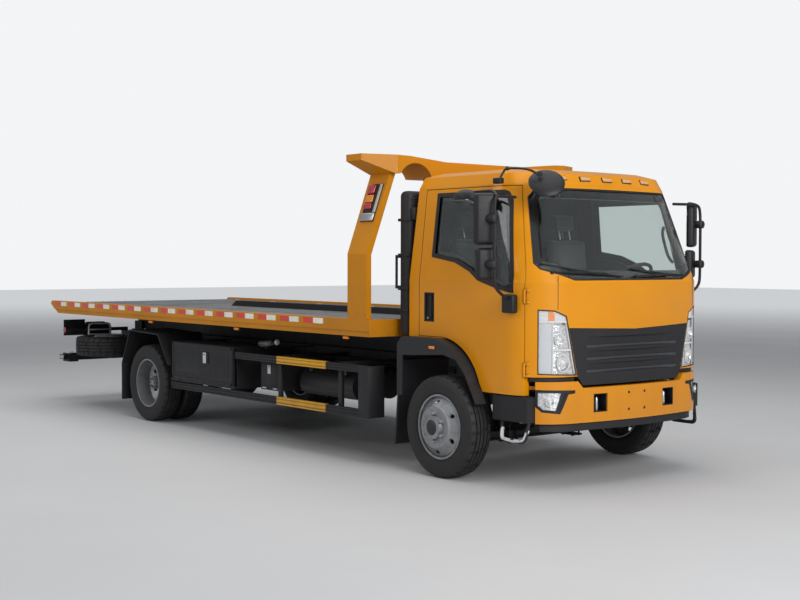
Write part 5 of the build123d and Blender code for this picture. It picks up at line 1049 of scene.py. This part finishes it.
# winch: flanged drum with its wound rope, gearbox ends, rope guide
winchParts = {
    "y": 1.255, "z": 1.370, "drum": 0.070, "rope": 0.0052, "turns": (-0.165, 0.0112, 30),
    "flangeX": (-0.190, 0.178), "boxX": ((-0.330, -1), (0.300, 1)), "boxBolts": (6, 0.072),
    "flange": ((0.030, 0.0), (0.108, 0.0), (0.110, 0.003), (0.110, 0.009), (0.108, 0.012), (0.030, 0.012)),
    "box": ((0.0, 0.0), (0.080, 0.0), (0.092, 0.012), (0.092, 0.055), (0.080, 0.066), (0.0, 0.066)),
    "guideY": 1.398, "guideX": 0.115, "rollers": (1.252, 1.330),
}
shape = Shape()
y, z, drum, rope = (winchParts[key] for key in ("y", "z", "drum", "rope"))
turn = [(drum + rope, -rope), (drum + 2 * rope, 0.0), (drum + rope, rope), (drum, 0.0)]
for x in row(*winchParts["turns"]):
    shape.spun(turn, 30, turned((1, 0, 0), (x, y, z)), 1)
for x in winchParts["flangeX"]:
    shape.spun(winchParts["flange"], 40, turned((1, 0, 0), (x, y, z)))
for x, way in winchParts["boxX"]:
    shape.spun(winchParts["box"], 36, turned((way, 0, 0), (x - way * 0.004, y, z)), 0, False)
    for across, up in around(*winchParts["boxBolts"]):
        shape.bolt((x + way * 0.062, y + across, z + up), (way, 0, 0), 0.008, 0.008, 2)
y, x = winchParts["guideY"], winchParts["guideX"]
shape.block((-0.150, y - 0.013, 1.226), (0.150, y + 0.012, 1.262), 0.004, 0)
for across in (-x, x):
    shape.rod((across, y, 1.232), (across, y, 1.330), 0.016, finish=2)
for z in winchParts["rollers"]:
    shape.rod((-x - 0.010, y, z), (x + 0.010, y, z), 0.014, finish=2)
shape.keep("winchDrum", "bed", ["frame", "rope", "bright"], "frame_paint")
print("bed made")


# side guards: grooved rails on posts, a folded column in front, yellow sleeves on the middle of the rails
guard = {
    "face": 1.200, "depth": 0.040, "groove": 0.006, "front": 0.810, "grow": 0.0016, "sleeve": (1.430, 2.205),
    # low, high, rear end
    "rails": ((0.772, 0.835, 2.930), (0.395, 0.463, 4.180)),
    # share of the rail's height, 1 where it is sunk
    "marks": ((0.0, 0), (0.20, 0), (0.24, 1), (0.34, 1), (0.38, 0), (0.62, 0), (0.66, 1), (0.76, 1), (0.80, 0),
              (1.0, 0)),
    # the column's plates: x, y behind the front, z, bevel
    "column": (((1.158, 1.1985), (0.001, 0.150), (0.396, 0.834), 0.004),
               ((1.197, 1.1998), (0.030, 0.120), (0.470, 0.765), 0.0013),
               ((1.031, 1.1995), (0.0003, 0.0125), (0.396, 0.834), 0.004),
               ((1.043, 1.186), (-0.0002, 0.003), (0.420, 0.810), 0.0013)),
    "posts": (1.270, 2.210), "postBolts": (0.425, 0.805), "feet": (0.885, 2.860, 4.100),
}
lid = {
    "low": 0.505, "high": 0.868, "start": 2.975, "end": 4.145, "x": (1.1985, 1.2045), "edge": 0.022, "panel": 0.07,
    # the latch's plate and handle
    "latch": (((1.2118, 3.452, 0.692), (1.2150, 3.508, 0.798), 0.0012, 1),
              ((1.2140, 3.462, 0.704), (1.2185, 3.498, 0.760), 0.002, 1)),
    "key": ((1.2140, 3.480, 0.779), (1.2170, 3.480, 0.779)), "hinges": (3.05, 3.56, 4.05), "hinge": 0.045,
}


def rail(shape, low, high, start, end, grow=0.0, look=0):
    low, high, face = low - grow, high + grow, guard["face"] + grow * 0.4
    inner = guard["face"] + grow * 0.4 - guard["depth"] - grow
    outline = [(face - sunk * guard["groove"], low + share * (high - low)) for share, sunk in guard["marks"]]
    lengthwise = Matrix(((1, 0, 0, 0), (0, 0, 1, start), (0, 1, 0, 0), (0, 0, 0, 1)))
    shape.plate(outline + [(inner, high), (inner, low)], end - start, lengthwise, 0.0022, look)


for word, side in (("Right", -1), ("Left", 1)):
    shape = Shape()
    front = guard["front"]
    for low, high, end in guard["rails"]:
        rail(shape, low, high, front + 0.02, end)
        rail(shape, low, high, *guard["sleeve"], guard["grow"], 1)
    for (nearX, farX), (nearY, farY), (low, high), bevel in guard["column"]:
        shape.block((nearX, front + nearY, low), (farX, front + farY, high), bevel, 0)
    for y in guard["posts"]:
        shape.block((1.130, y - 0.025, 0.405), (1.160, y + 0.025, 0.835), 0.004, 0)
        shape.block((0.400, y - 0.020, 0.805), (1.132, y + 0.020, 0.840), 0.004, 0)
        for z in guard["postBolts"]:
            shape.bolt((1.1940, y, z), (1, 0, 0), 0.0075, 0.005)
    for y in guard["feet"]:
        shape.bolt((1.1940, y, 0.430), (1, 0, 0), 0.0075, 0.006)
    shape.facing(side)
    shape.keep(f"sideGuard{word}", "truck", ["frame", "yellow", "bright"], "frame_paint",
               ["side_guards"] if side < 0 else ())

    # lid: pressed panel with a raised frame, T-latch on a plate, hinges
    shape = Shape()
    low, high, start, end = (lid[key] for key in ("low", "high", "start", "end"))
    (nearX, farX), inset = lid["x"], lid["panel"]
    for near, far in frameBars(low, high, start, end, lid["edge"]):
        shape.block((nearX, *near), (farX, *far), 0.0022, 0)
    shape.block((1.199, start + inset, low + inset), (1.2022, end - inset, high - inset), 0.0014, 0)
    shape.blocks(lid["latch"])
    shape.rod(*lid["key"], 0.010, sides=16, bevel=0.0008, finish=2)
    for near, far in ((y - lid["hinge"], y + lid["hinge"]) for y in lid["hinges"]):
        shape.block((1.1985, near, 0.478), (1.2035, far, 0.520), 0.0015, 0)
        shape.rod((1.1995, near, 0.489), (1.1995, far, 0.489), 0.0055, sides=14, finish=2)
    shape.facing(side)
    shape.keep(f"lidTrim{word}", f"toolbox_lid_{word.lower()}", ["frame", "latch", "housing"], "frame_paint")

# small case on the right with its latch, hinges and edge folds; lever with a white ball over it
case = {
    "blocks": (((-1.124, 2.290, 0.512), (-1.118, 2.572, 0.770), 0.0025, 0),
               ((-1.127, 2.310, 0.530), (-1.122, 2.552, 0.752), 0.002, 0),
               ((-1.1295, 2.412, 0.655), (-1.124, 2.463, 0.735), 0.002, 1),
               ((-1.1325, 2.420, 0.664), (-1.127, 2.455, 0.706), 0.002, 1),
               ((-0.945, 2.760, 0.870), (-0.905, 2.800, 0.905), 0.004, 0),
               ((-0.945, 2.760, 0.864), (-0.400, 2.800, 0.874), 0.002, 0)),
    "hinges": (2.34, 2.52), "grip": ((-0.930, 2.900, 0.905), (-0.945, 2.760, 0.912), (-0.960, 2.640, 0.925)),
}
shape = Shape()
shape.blocks(case["blocks"])
shape.rod((-1.124, 2.4375, 0.720), (-1.1325, 2.4375, 0.720), 0.007, sides=16, bevel=0.0008, finish=2)
for y in case["hinges"]:
    shape.rod((-1.126, y - 0.03, 0.520), (-1.126, y + 0.03, 0.520), 0.006, sides=14, finish=1)
shape.pipe(case["grip"], 0.024, 3, bend=6)
shape.rod((-0.935, 2.870, 0.905), (-0.952, 2.700, 0.920), 0.032, 0.028, finish=3)
shape.rod((-0.957, 2.640, 0.925), (-0.964, 2.560, 0.936), 0.010, finish=2)
shape.ball((-0.966, 2.547, 0.938), 0.028, 4, rings=16)
shape.keep("leverAndCase", "truck", ["frame", "latch", "housing", "wheel", "knob"], "frame_paint")

# side lamps on the flares, bolts of the front flaps
flareTrim = {"x": 1.0995, "flapBolts": (0.62, 0.80, 0.98)}
shape = Shape()
for side in (-1, 1):
    x = flareTrim["x"]
    shape.block((side * x, 0.078, 1.012), (side * (x + 0.0120), 0.146, 1.036), 0.005, 0, segments=3)
    shape.block((side * x, 0.070, 1.005), (side * (x + 0.0035), 0.154, 1.043), 0.002, 1)
    for x in flareTrim["flapBolts"]:
        shape.bolt((side * x, 0.545, 0.865), (0, 1, 0), 0.010, 0.008, 2)
shape.keep("flareLamps", "truck", ["amber", "housing", "bright"], "amber_lens")

# rear: on each side a barred silver guard with its cross-bars, three lamps behind bars, a blank plate with its light,
# a round reflector and the flap's bolts
tail = {
    # the guard's rounded frame: centre, half sizes and corner radius; its bars
    "centre": (0.735, 0.815), "half": (0.100, 0.090), "corner": 0.040, "bars": (0.757, 0.815, 0.873),
    "frameY": 6.802, "barY": 6.798, "reach": (0.600, 0.870),
    # each lamp's x, half width and look
    "lamps": ((0.650, 0.044, 3), (0.735, 0.039, 0), (0.820, 0.035, 4)),
    "lying": (0.735, 0.790, 0.845, 0.900), "upright": (0.606, 0.735, 0.864), "plateX": 1.02,
    "flapBolts": (0.78, 0.98, 1.18),
}
shape = Shape()
near, far = tail["reach"]
(middleX, middleZ), (halfX, halfZ) = tail["centre"], tail["half"]
for side in (-1, 1):
    corners = [(side * (middleX + across * halfX + tail["corner"] * cos(turn)), tail["frameY"],
                middleZ + up * halfZ + tail["corner"] * sin(turn))
               for across, up, start in ((1, 1, 0.0), (-1, 1, 0.5), (-1, -1, 1.0), (1, -1, 1.5))
               for turn in (start * pi, (start + 0.25) * pi, (start + 0.5) * pi)]
    shape.pipe(corners + corners[:1], 0.012, 2, smooth=False)
    for z in tail["bars"]:
        shape.rod((side * near, tail["barY"], z), (side * far, tail["barY"], z), 0.009, finish=2)
    for x, half, look in tail["lamps"]:
        shape.block((side * (x - half), 6.937, 0.750), (side * (x + half), 6.951, 0.885), 0.006, look, segments=4)
    for z in tail["lying"]:
        shape.rod((side * near, 6.960, z), (side * far, 6.960, z), 0.006, finish=2)
    for x in tail["upright"]:
        shape.rod((side * x, 6.963, 0.705), (side * x, 6.963, 0.935), 0.006, finish=2)
    x = side * tail["plateX"]
    shape.block((x - 0.018, 6.906, 0.915), (x + 0.018, 6.9095, 0.935), 0.001, 4)
    shape.block((x - 0.11, 6.911, 0.870), (x + 0.11, 6.9145, 0.930), 0.001, 5)
    shape.spun([(0.0, 0.0), (0.030, 0.0), (0.034, 0.004), (0.030, 0.009), (0.0, 0.011)], 28,
               turned((side, 0, 0), (side * 1.1465, 6.880, 0.875)), 3, False)
    for x in tail["flapBolts"]:
        shape.bolt((side * x, 5.2355, 0.560), (0, 1, 0), 0.010, 0.008, 2)
shape.keep("rearLamps", "truck", ["amber", "housing", "latch", "red", "whiteLens", "plateWhite"], "lamp_lens")
print("sides made")


# seats: cushions and backs blown up as cloth from a slightly smaller form, piping and channels laid on after
seatPlan = {
    # middle and width of each seat
    "seats": {"Left": (0.560, 0.500), "Middle": (-0.060, 0.420), "Right": (-0.560, 0.500)},
    # depth, height, y and z of the middle, lean in degrees, rounding; the width is the seat's or the last value
    "seatCushion": (0.500, 0.110, -0.055, 1.322, 0.0, 0.040, None),
    "seatBack": (0.085, 0.500, 0.235, 1.660, -9.0, 0.038, None),
    "headRest": (0.058, 0.140, 0.295, 2.045, -6.0, 0.026, 0.225),
    "inset": 0.022, "fill": 0.8,
    # the cloth: voxels, pressure, cap on how far a point moves, steps
    "voxel": 0.012, "pressure": 4.0, "cap": 0.018, "frames": 14,
    # y and z of the sewn channels laid on the crown; inset from the edge, y and z of the piping
    "channel": ((-0.260, 1.383), (-0.150, 1.392), (0.000, 1.393), (0.140, 1.385)),
    "piping": ((0.03, 0.150, 1.388), (0.012, 0.000, 1.385), (0.012, -0.220, 1.372)), "front": (-0.300, 1.368),
}


def baked(piece):  # the mesh as its modifiers leave it
    bpy.context.view_layer.update()
    made = bpy.data.meshes.new_from_object(piece.evaluated_get(bpy.context.evaluated_depsgraph_get()))
    piece.modifiers.clear()
    piece.data = made
    return made


def swell(piece, plan=seatPlan):  # pressure from inside, with a limit on every point
    scene = bpy.context.scene
    remesh = piece.modifiers.new("even", "REMESH")
    remesh.mode = "VOXEL"
    remesh.voxel_size = plan["voxel"]
    rest = [v.co.copy() for v in baked(piece).vertices]
    cloth = piece.modifiers.new("cloth", "CLOTH")
    cloth.settings.quality = 5
    cloth.settings.mass = 0.3
    cloth.settings.tension_stiffness = 15
    cloth.settings.bending_stiffness = 2.0
    cloth.settings.use_pressure = True
    cloth.settings.uniform_pressure_force = plan["pressure"]
    cloth.settings.effector_weights.gravity = 0.0
    cloth.point_cache.frame_start = 1
    cloth.point_cache.frame_end = plan["frames"]
    for number in range(1, plan["frames"] + 1):
        scene.frame_set(number)
    for vert, start in zip(baked(piece).vertices, rest):
        move = vert.co - start
        if move.length > plan["cap"]:
            vert.co = start + move.normalized() * plan["cap"]
    scene.frame_set(1)


for word, (x, width) in seatPlan["seats"].items():
    half = width / 2 - seatPlan["inset"]
    for kind in ("seatCushion", "seatBack", "headRest"):
        deep, tall, y, z, lean, rounding, ownWidth = seatPlan[kind]
        part = cube((ownWidth or 2 * half, deep, tall))
        soften(part, part.edges, rounding, 4)
        shape = Shape().take(part, 0, placed((x, y, z), lean, "X"))
        pad = shape.keep(f"{kind}{word}", "truck", ["cloth"], "seat_fabric",
                         ["seats"] if (word, kind) == ("Left", "seatCushion") else ())
        swell(pad)
        pad.data.shade_smooth()
        if not pad.data.materials:
            pad.data.materials.append(finishes["cloth"].material)

    # box and pan below the cushion, rods of the head rest, channels and piping
    shape = Shape()
    foot = 1.226 if word == "Middle" else 1.139
    shape.block((x - 0.125, -0.245, foot), (x + 0.125, 0.145, 1.262), 0.006, 1)
    shape.block((x - half + 0.01, -0.290, 1.250), (x + half - 0.01, 0.190, 1.272), 0.008, 1)
    for across in (x - 0.060, x + 0.060):
        shape.rod((across, 0.268, 1.900), (across, 0.292, 2.000), 0.006, finish=2)
    for across in (x - half / 2, x + half / 2):
        shape.pipe([(across, y, z) for y, z in seatPlan["channel"]], 0.0032)
    loop = [(x - half + inset, y, z) for inset, y, z in seatPlan["piping"]] + [(x, *seatPlan["front"])] \
        + [(x + half - inset, y, z) for inset, y, z in reversed(seatPlan["piping"])]
    shape.pipe(loop, 0.0042)
    shape.keep(f"seatBase{word}", "truck", ["piping", "housing", "bright"], "black_plastic")
print("seats made")

# dashboard: instrument hood and panel, vents, switches, papers under the screen, levers, grab handles, gear lever
dash = {
    "hood": ((-0.90, 1.520), (-0.665, 1.528), (-0.640, 1.560), (-0.690, 1.600), (-0.800, 1.600), (-0.900, 1.560)),
    "hoodX": 0.385, "hoodWidth": 0.350,
    "panels": (((0.42, -0.652, 1.515), (0.70, -0.640, 1.585), 0.004, 2),
               ((-0.20, -0.645, 1.370), (-0.02, -0.634, 1.495), 0.005, 2),
               ((-0.62, -0.890, 1.545), (-0.24, -0.700, 1.552), 0.002, 2)),
    "vents": (-0.66, -0.46, 0.05, 0.22), "slats": (1.428, 0.014, 4), "switches": (-0.18, 0.028, 6), "column": 0.560,
    "lever": ((0.02, -0.500, 1.500), (0.10, -0.510, 1.520), (0.19, -0.505, 1.535)),
    "grab": ((0.860, -0.690, 1.700), (0.835, -0.665, 1.730), (0.828, -0.625, 1.850), (0.830, -0.590, 1.960),
             (0.845, -0.600, 2.000)),
    "gear": ((0.18, -0.36, 1.226), (0.18, -0.38, 1.36), (0.19, -0.40, 1.500)),
}
shape = Shape()
crosswise = Matrix(((0, 0, 1, dash["hoodX"]), (1, 0, 0, 0), (0, 1, 0, 0), (0, 0, 0, 1)))
shape.plate(dash["hood"], dash["hoodWidth"], crosswise, 0.012, 0, 3)
shape.blocks(dash["panels"])
for x in dash["vents"]:
    shape.block((x - 0.075, -0.645, 1.415), (x + 0.075, -0.634, 1.485), 0.006, 2)
    for z in row(*dash["slats"]):
        shape.block((x - 0.068, -0.640, z), (x + 0.068, -0.6315, z + 0.004), 0.001, 0)
for x in row(*dash["switches"]):
    shape.rod((x, -0.636, 1.385), (x, -0.626, 1.385), 0.009)
for side in (-1, 1):
    shape.pipe([(dash["column"] + side * x, y, z) for x, y, z in dash["lever"]], 0.007, 2)
    shape.pipe([(side * x, y, z) for x, y, z in dash["grab"]], 0.013, 2, bend=6)
shape.pipe(dash["gear"], 0.009, 2)
shape.ball((0.19, -0.402, 1.515), 0.026, 2, rings=16)
shape.keep("dashDetails", "truck", ["dash", "screenDark", "housing"], "black_plastic")

steeringHub = {"facing": (0, 0.62, 0.78), "middle": (0.560, -0.470, 1.560),
               "profile": ((0.0, 0.004), (0.036, 0.004), (0.050, -0.002), (0.056, -0.016), (0.056, -0.030),
                           (0.0, -0.030))}
shape = Shape()
shape.spun(steeringHub["profile"], 36, turned(steeringHub["facing"], steeringHub["middle"]), 0, False)
shape.keep("steeringHub", "truck", ["housing"], "black_plastic")
print("cab inside made")


# fasteners and fittings on the frame, axles and springs
chassis = {
    "boltY": (-0.45, 0.20, 0.76, 1.27, 1.70, 2.21, 2.70, 3.40, 4.00, 5.00, 5.56, 6.30, 6.56), "boltZ": (0.730, 0.830),
    # station, height of the spring's seat, height of the beam's foot
    "axles": ((0.0, 0.3275, 0.245), (wheelbase, 0.4675, 0.330)), "springX": 0.366,
    "clamp": 0.055, "padHalf": (0.052, 0.085),
    # a U-bolt: across and below its top; no depth is its foot
    "hoop": ((-0.040, None), (-0.040, 0.02), (-0.032, 0.0), (0.0, -0.006), (0.032, 0.0), (0.040, 0.02),
             (0.040, None)),
    # brake chamber: across, station and height
    "chamber": (0.560, 4.800, 0.400),
    "chamberForm": ((0.0, 0.0), (0.050, 0.0), (0.070, 0.020), (0.074, 0.060), (0.080, 0.064), (0.080, 0.072),
                    (0.074, 0.076), (0.072, 0.120), (0.055, 0.150), (0.0, 0.152)),
}
shape = Shape()
for side in (-1, 1):
    for y in chassis["boltY"]:
        for z in chassis["boltZ"]:
            shape.bolt((side * 0.400, y, z), (side, 0, 0), 0.010, 0.010)
    x, (across, along) = side * chassis["springX"], chassis["padHalf"]
    for station, seat, foot in chassis["axles"]:
        top = seat + 0.066
        for y in (station - chassis["clamp"], station + chassis["clamp"]):
            shape.pipe([(x + side * out, y, foot - 0.025 if below is None else top - below)
                        for out, below in chassis["hoop"]], 0.009, 1)
        for low, high in ((seat + 0.054, seat + 0.072), (foot - 0.018, foot - 0.002)):
            shape.block((x - across, station - along, low), (x + across, station + along, high), 0.004, 0)
        eye = Vector((side * 0.440, station + 0.10, seat - 0.02))  # shock absorber
        head = Vector((side * 0.420, station + 0.30, 0.780))
        way = (head - eye).normalized()
        shape.rod(eye, eye + way * 0.26, 0.026)
        shape.rod(eye + way * 0.22, head, 0.032)
    x, y, z = chassis["chamber"]
    shape.spun(chassis["chamberForm"], 32, turned((0, 1, 0.1), (side * x, y, z)), 0, False)
    shape.rod((side * x, y - 0.100, z - 0.005), (side * x, y + 0.005, z), 0.010, finish=2)
shape.keep("frameFasteners", "truck", ["frame", "cast", "bright"], "frame_paint")

# air lines along the frame, exhaust with its silencer and straps
lines = {
    # x, height, radius
    "air": ((-0.412, 0.792, 0.007), (-0.412, 0.774, 0.007), (-0.414, 0.752, 0.009), (0.412, 0.780, 0.008),
            (0.412, 0.760, 0.007)),
    # y, and how far the line strays in x and z
    "run": ((0.62, 0.0, 0.0), (1.6, -0.002, -0.006), (2.6, 0.002, 0.004), (3.6, 0.0, -0.005), (4.3, 0.0, 0.0)),
    "silencer": ((0.0, 0.0), (0.085, 0.0), (0.098, 0.012), (0.098, 0.640), (0.085, 0.652), (0.0, 0.652)),
    "pipes": (((0.200, 0.300, 0.520), (0.240, 0.800, 0.520), (0.480, 1.150, 0.470), (0.300, 1.600, 0.440),
               (0.330, 2.150, 0.520), (0.540, 2.280, 0.600), (0.560, 2.400, 0.600)),
              ((0.560, 3.020, 0.600), (0.560, 3.180, 0.590), (0.600, 3.300, 0.560), (0.700, 3.420, 0.440))),
    "straps": (2.50, 2.92),
}
shape = Shape()
for x, z, radius in lines["air"]:
    shape.pipe([(x + stray, y, z + sag) for y, stray, sag in lines["run"]], radius, sides=8)
shape.spun(lines["silencer"], 40, turned((0, 1, 0), (0.560, 2.380, 0.600)), 1, False)
for route in lines["pipes"]:
    shape.pipe(route, 0.034, 1, bend=8)
for y in lines["straps"]:
    shape.block((0.400, y - 0.02, 0.690), (0.640, y + 0.02, 0.712), 0.003, 0)
shape.keep("linesAndExhaust", "truck", ["housing", "cast"], "cast_metal")

# engine: sump, cooling fan, ribs on its sides, radiator with its fins
engine = {
    "fan": ((0.0, 0.0), (0.060, 0.0), (0.240, 0.008), (0.240, 0.020), (0.060, 0.030), (0.0, 0.030)),
    "fanMiddle": (0.0, -0.600, 0.850), "ribs": (-0.45, 0.20, 5), "fins": (0.715, 0.020, 22),
}
shape = Shape()
shape.block((-0.250, -0.545, 0.430), (0.250, 0.200, 0.505), 0.030, 0, segments=4)
shape.spun(engine["fan"], 48, turned((0, -1, 0), engine["fanMiddle"]), 1, False)
for x, wide in ((-0.284, 0.012), (0.272, 0.024)):
    for y in row(*engine["ribs"]):
        shape.block((x, y, 0.560), (x + wide, y + 0.030, 1.100), 0.004, 0)
shape.block((-0.330, -0.800, 0.700), (0.330, -0.760, 1.150), 0.010, 1, segments=3)
for z in row(*engine["fins"]):
    shape.block((-0.320, -0.806, z), (0.320, -0.799, z + 0.0035), 0.0008, 0)
shape.keep("engineDetails", "truck", ["cast", "housing"], "cast_metal")

# steps: ribbed treads on the step boxes, pads and a loop below each; the right loop is silver
steps = {
    "treads": (-0.840, 0.042, 9), "x": 0.815, "half": 0.165, "pads": (-0.80, -0.705, -0.61), "loopX": 0.990,
    "loop": ((0.968, -0.569, 0.452), (0.9895, -0.575, 0.385), (0.990, -0.610, 0.361), (0.990, -0.800, 0.361),
             (0.9895, -0.833, 0.385), (0.968, -0.842, 0.452)),
}
shape = Shape()
for side, look in ((-1, 1), (1, 0)):
    x, half = side * steps["x"], steps["half"]
    for y in row(*steps["treads"]):
        shape.block((x - half, y, 0.6945), (x + half, y + 0.014, 0.7005), 0.0015, 0)
    x = side * steps["loopX"]
    for y in steps["pads"]:
        shape.block((x - 0.012, y - 0.02, 0.366), (x + 0.012, y + 0.02, 0.3755), 0.002, 0)
    shape.pipe([(side * x, y, z) for x, y, z in steps["loop"]], 0.0145, look)
shape.keep("stepTreads", "truck", ["housing", "latch"], "black_plastic")

# underlift claws: pads, pin collars and painted cheeks with their bolts
claw = {"pad": (0.800, 0.940), "cheek": (0.940, 0.9905), "pin": (0.870, 7.330, 0.572), "bolts": (7.295, 7.365),
        "collar": ((0.0215, 0.0), (0.034, 0.0), (0.034, 0.010), (0.0215, 0.010))}
shape = Shape()
for side in (-1, 1):
    (near, far), (inner, outer), (x, y, z) = claw["pad"], claw["cheek"], claw["pin"]
    shape.block((side * near, 7.243, 0.566), (side * far, 7.417, 0.5705), 0.002, 0)
    shape.spun(claw["collar"], 32, turned((0, 0, 1), (side * x, y, z)))
    shape.block((side * inner, 7.272, 0.492), (side * outer, 7.388, 0.548), 0.006, 1)
    for y in claw["bolts"]:
        shape.bolt((side * 0.9900, y, 0.520), (side, 0, 0), 0.009, 0.007)
shape.keep("clawTrim", "underlift_bar", ["latch", "silverPaint"], "silver_metal")
print("under parts made")


# floor, lamps and camera
stage = {
    "floor": 60.0, "pale": (0.66, 0.66, 0.66), "dull": (0.58, 0.585, 0.59),
    # the floor glows a little where it lies far off, so that it stays pale there
    "fade": (9.0, 42.0), "glow": (0.42, 0.43, 0.44),
    # what lights the truck, and what the camera sees behind it: colour and strength
    "light": ((0.92, 0.95, 1.0, 1.0), 0.30), "backdrop": ((0.90, 0.91, 0.92, 1.0), 1.0),
    "eye": (-7.756, frontAxle - 7.806, 1.716), "yaw": 38.64, "pitch": 1.745, "roll": 0.127, "lens": 58.727,
    # place, aim, width, length, watts
    "lamps": [((-2.5, -14.5, 5.5), (0.0, -3.0, 1.2), 7.0, 5.0, 900.0),
              ((0.0, 0.0, 8.5), (0.0, 0.0, 0.0), 9.0, 14.0, 520.0),
              ((-11.0, 1.0, 7.0), (0.0, 1.0, 1.0), 8.0, 4.0, 230.0)],
}
floorMesh = bmesh.new()
bmesh.ops.create_grid(floorMesh, x_segments=2, y_segments=2, size=stage["floor"])
mesh = bpy.data.meshes.new("floor")
floorMesh.to_mesh(mesh)
floorMesh.free()
floor = bpy.data.objects.new("floor", mesh)
bpy.context.collection.objects.link(floor)
made = Finish("paleFloor", stage["pale"], Specular_IOR_Level=0.15, Emission_Strength=1.0)
mottle = made.noise(0.6, 5.0)
made.set("Base Color", made.mix(mottle, stage["pale"], stage["dull"]))
made.set("Roughness", mottle * 0.2 + 0.5)
far = made.step(made.vector("LENGTH", (made.at(),), 1), *stage["fade"])
made.set("Emission Color", made.mix(far, (0.0, 0.0, 0.0), stage["glow"]))
mesh.materials.append(made.material)

world = bpy.data.worlds.new("hall")
bpy.context.scene.world = world
world.use_nodes = True
tree = world.node_tree
path = tree.nodes.new("ShaderNodeLightPath")
back, seen = tree.nodes["Background"], tree.nodes.new("ShaderNodeBackground")
for background, (color, strength) in ((back, stage["light"]), (seen, stage["backdrop"])):
    background.inputs[0].default_value = color
    background.inputs[1].default_value = strength
either = tree.nodes.new("ShaderNodeMath")
either.operation = "MAXIMUM"
choose = tree.nodes.new("ShaderNodeMixShader")
for start, end in ((path.outputs["Is Camera Ray"], either.inputs[0]),
                   (path.outputs["Is Transmission Ray"], either.inputs[1]), (either.outputs[0], choose.inputs[0]),
                   (back.outputs[0], choose.inputs[1]), (seen.outputs[0], choose.inputs[2]),
                   (choose.outputs[0], tree.nodes["World Output"].inputs[0])):
    tree.links.new(start, end)

for index, (place, aim, width, length, watts) in enumerate(stage["lamps"]):
    light = bpy.data.lights.new(f"softbox{index}", "AREA")
    light.shape = "RECTANGLE"
    light.size, light.size_y, light.energy = width, length, watts
    lamp = bpy.data.objects.new(f"softbox{index}", light)
    lamp.location = place
    lamp.rotation_euler = (Vector(aim) - Vector(place)).to_track_quat("-Z", "Y").to_euler()
    bpy.context.collection.objects.link(lamp)

camera = bpy.data.cameras.new("camera")
camera.sensor_width = 36.0
camera.lens = stage["lens"]
camera.clip_end = 200.0
eye = bpy.data.objects.new("camera", camera)
bpy.context.collection.objects.link(eye)
yaw, pitch, roll = (radians(stage[key]) for key in ("yaw", "pitch", "roll"))
ahead = Vector((sin(yaw) * cos(pitch), cos(yaw) * cos(pitch), -sin(pitch)))
right = Vector((cos(yaw), -sin(yaw), 0.0))
up = right.cross(ahead)
across = cos(roll) * right + sin(roll) * up
upright = -sin(roll) * right + cos(roll) * up
turn = Matrix((across, upright, -ahead)).transposed().to_4x4()
eye.matrix_world = Matrix.Translation(stage["eye"]) @ turn
bpy.context.scene.camera = eye
bpy.context.scene.view_settings.view_transform = "Standard"
print("stage set")
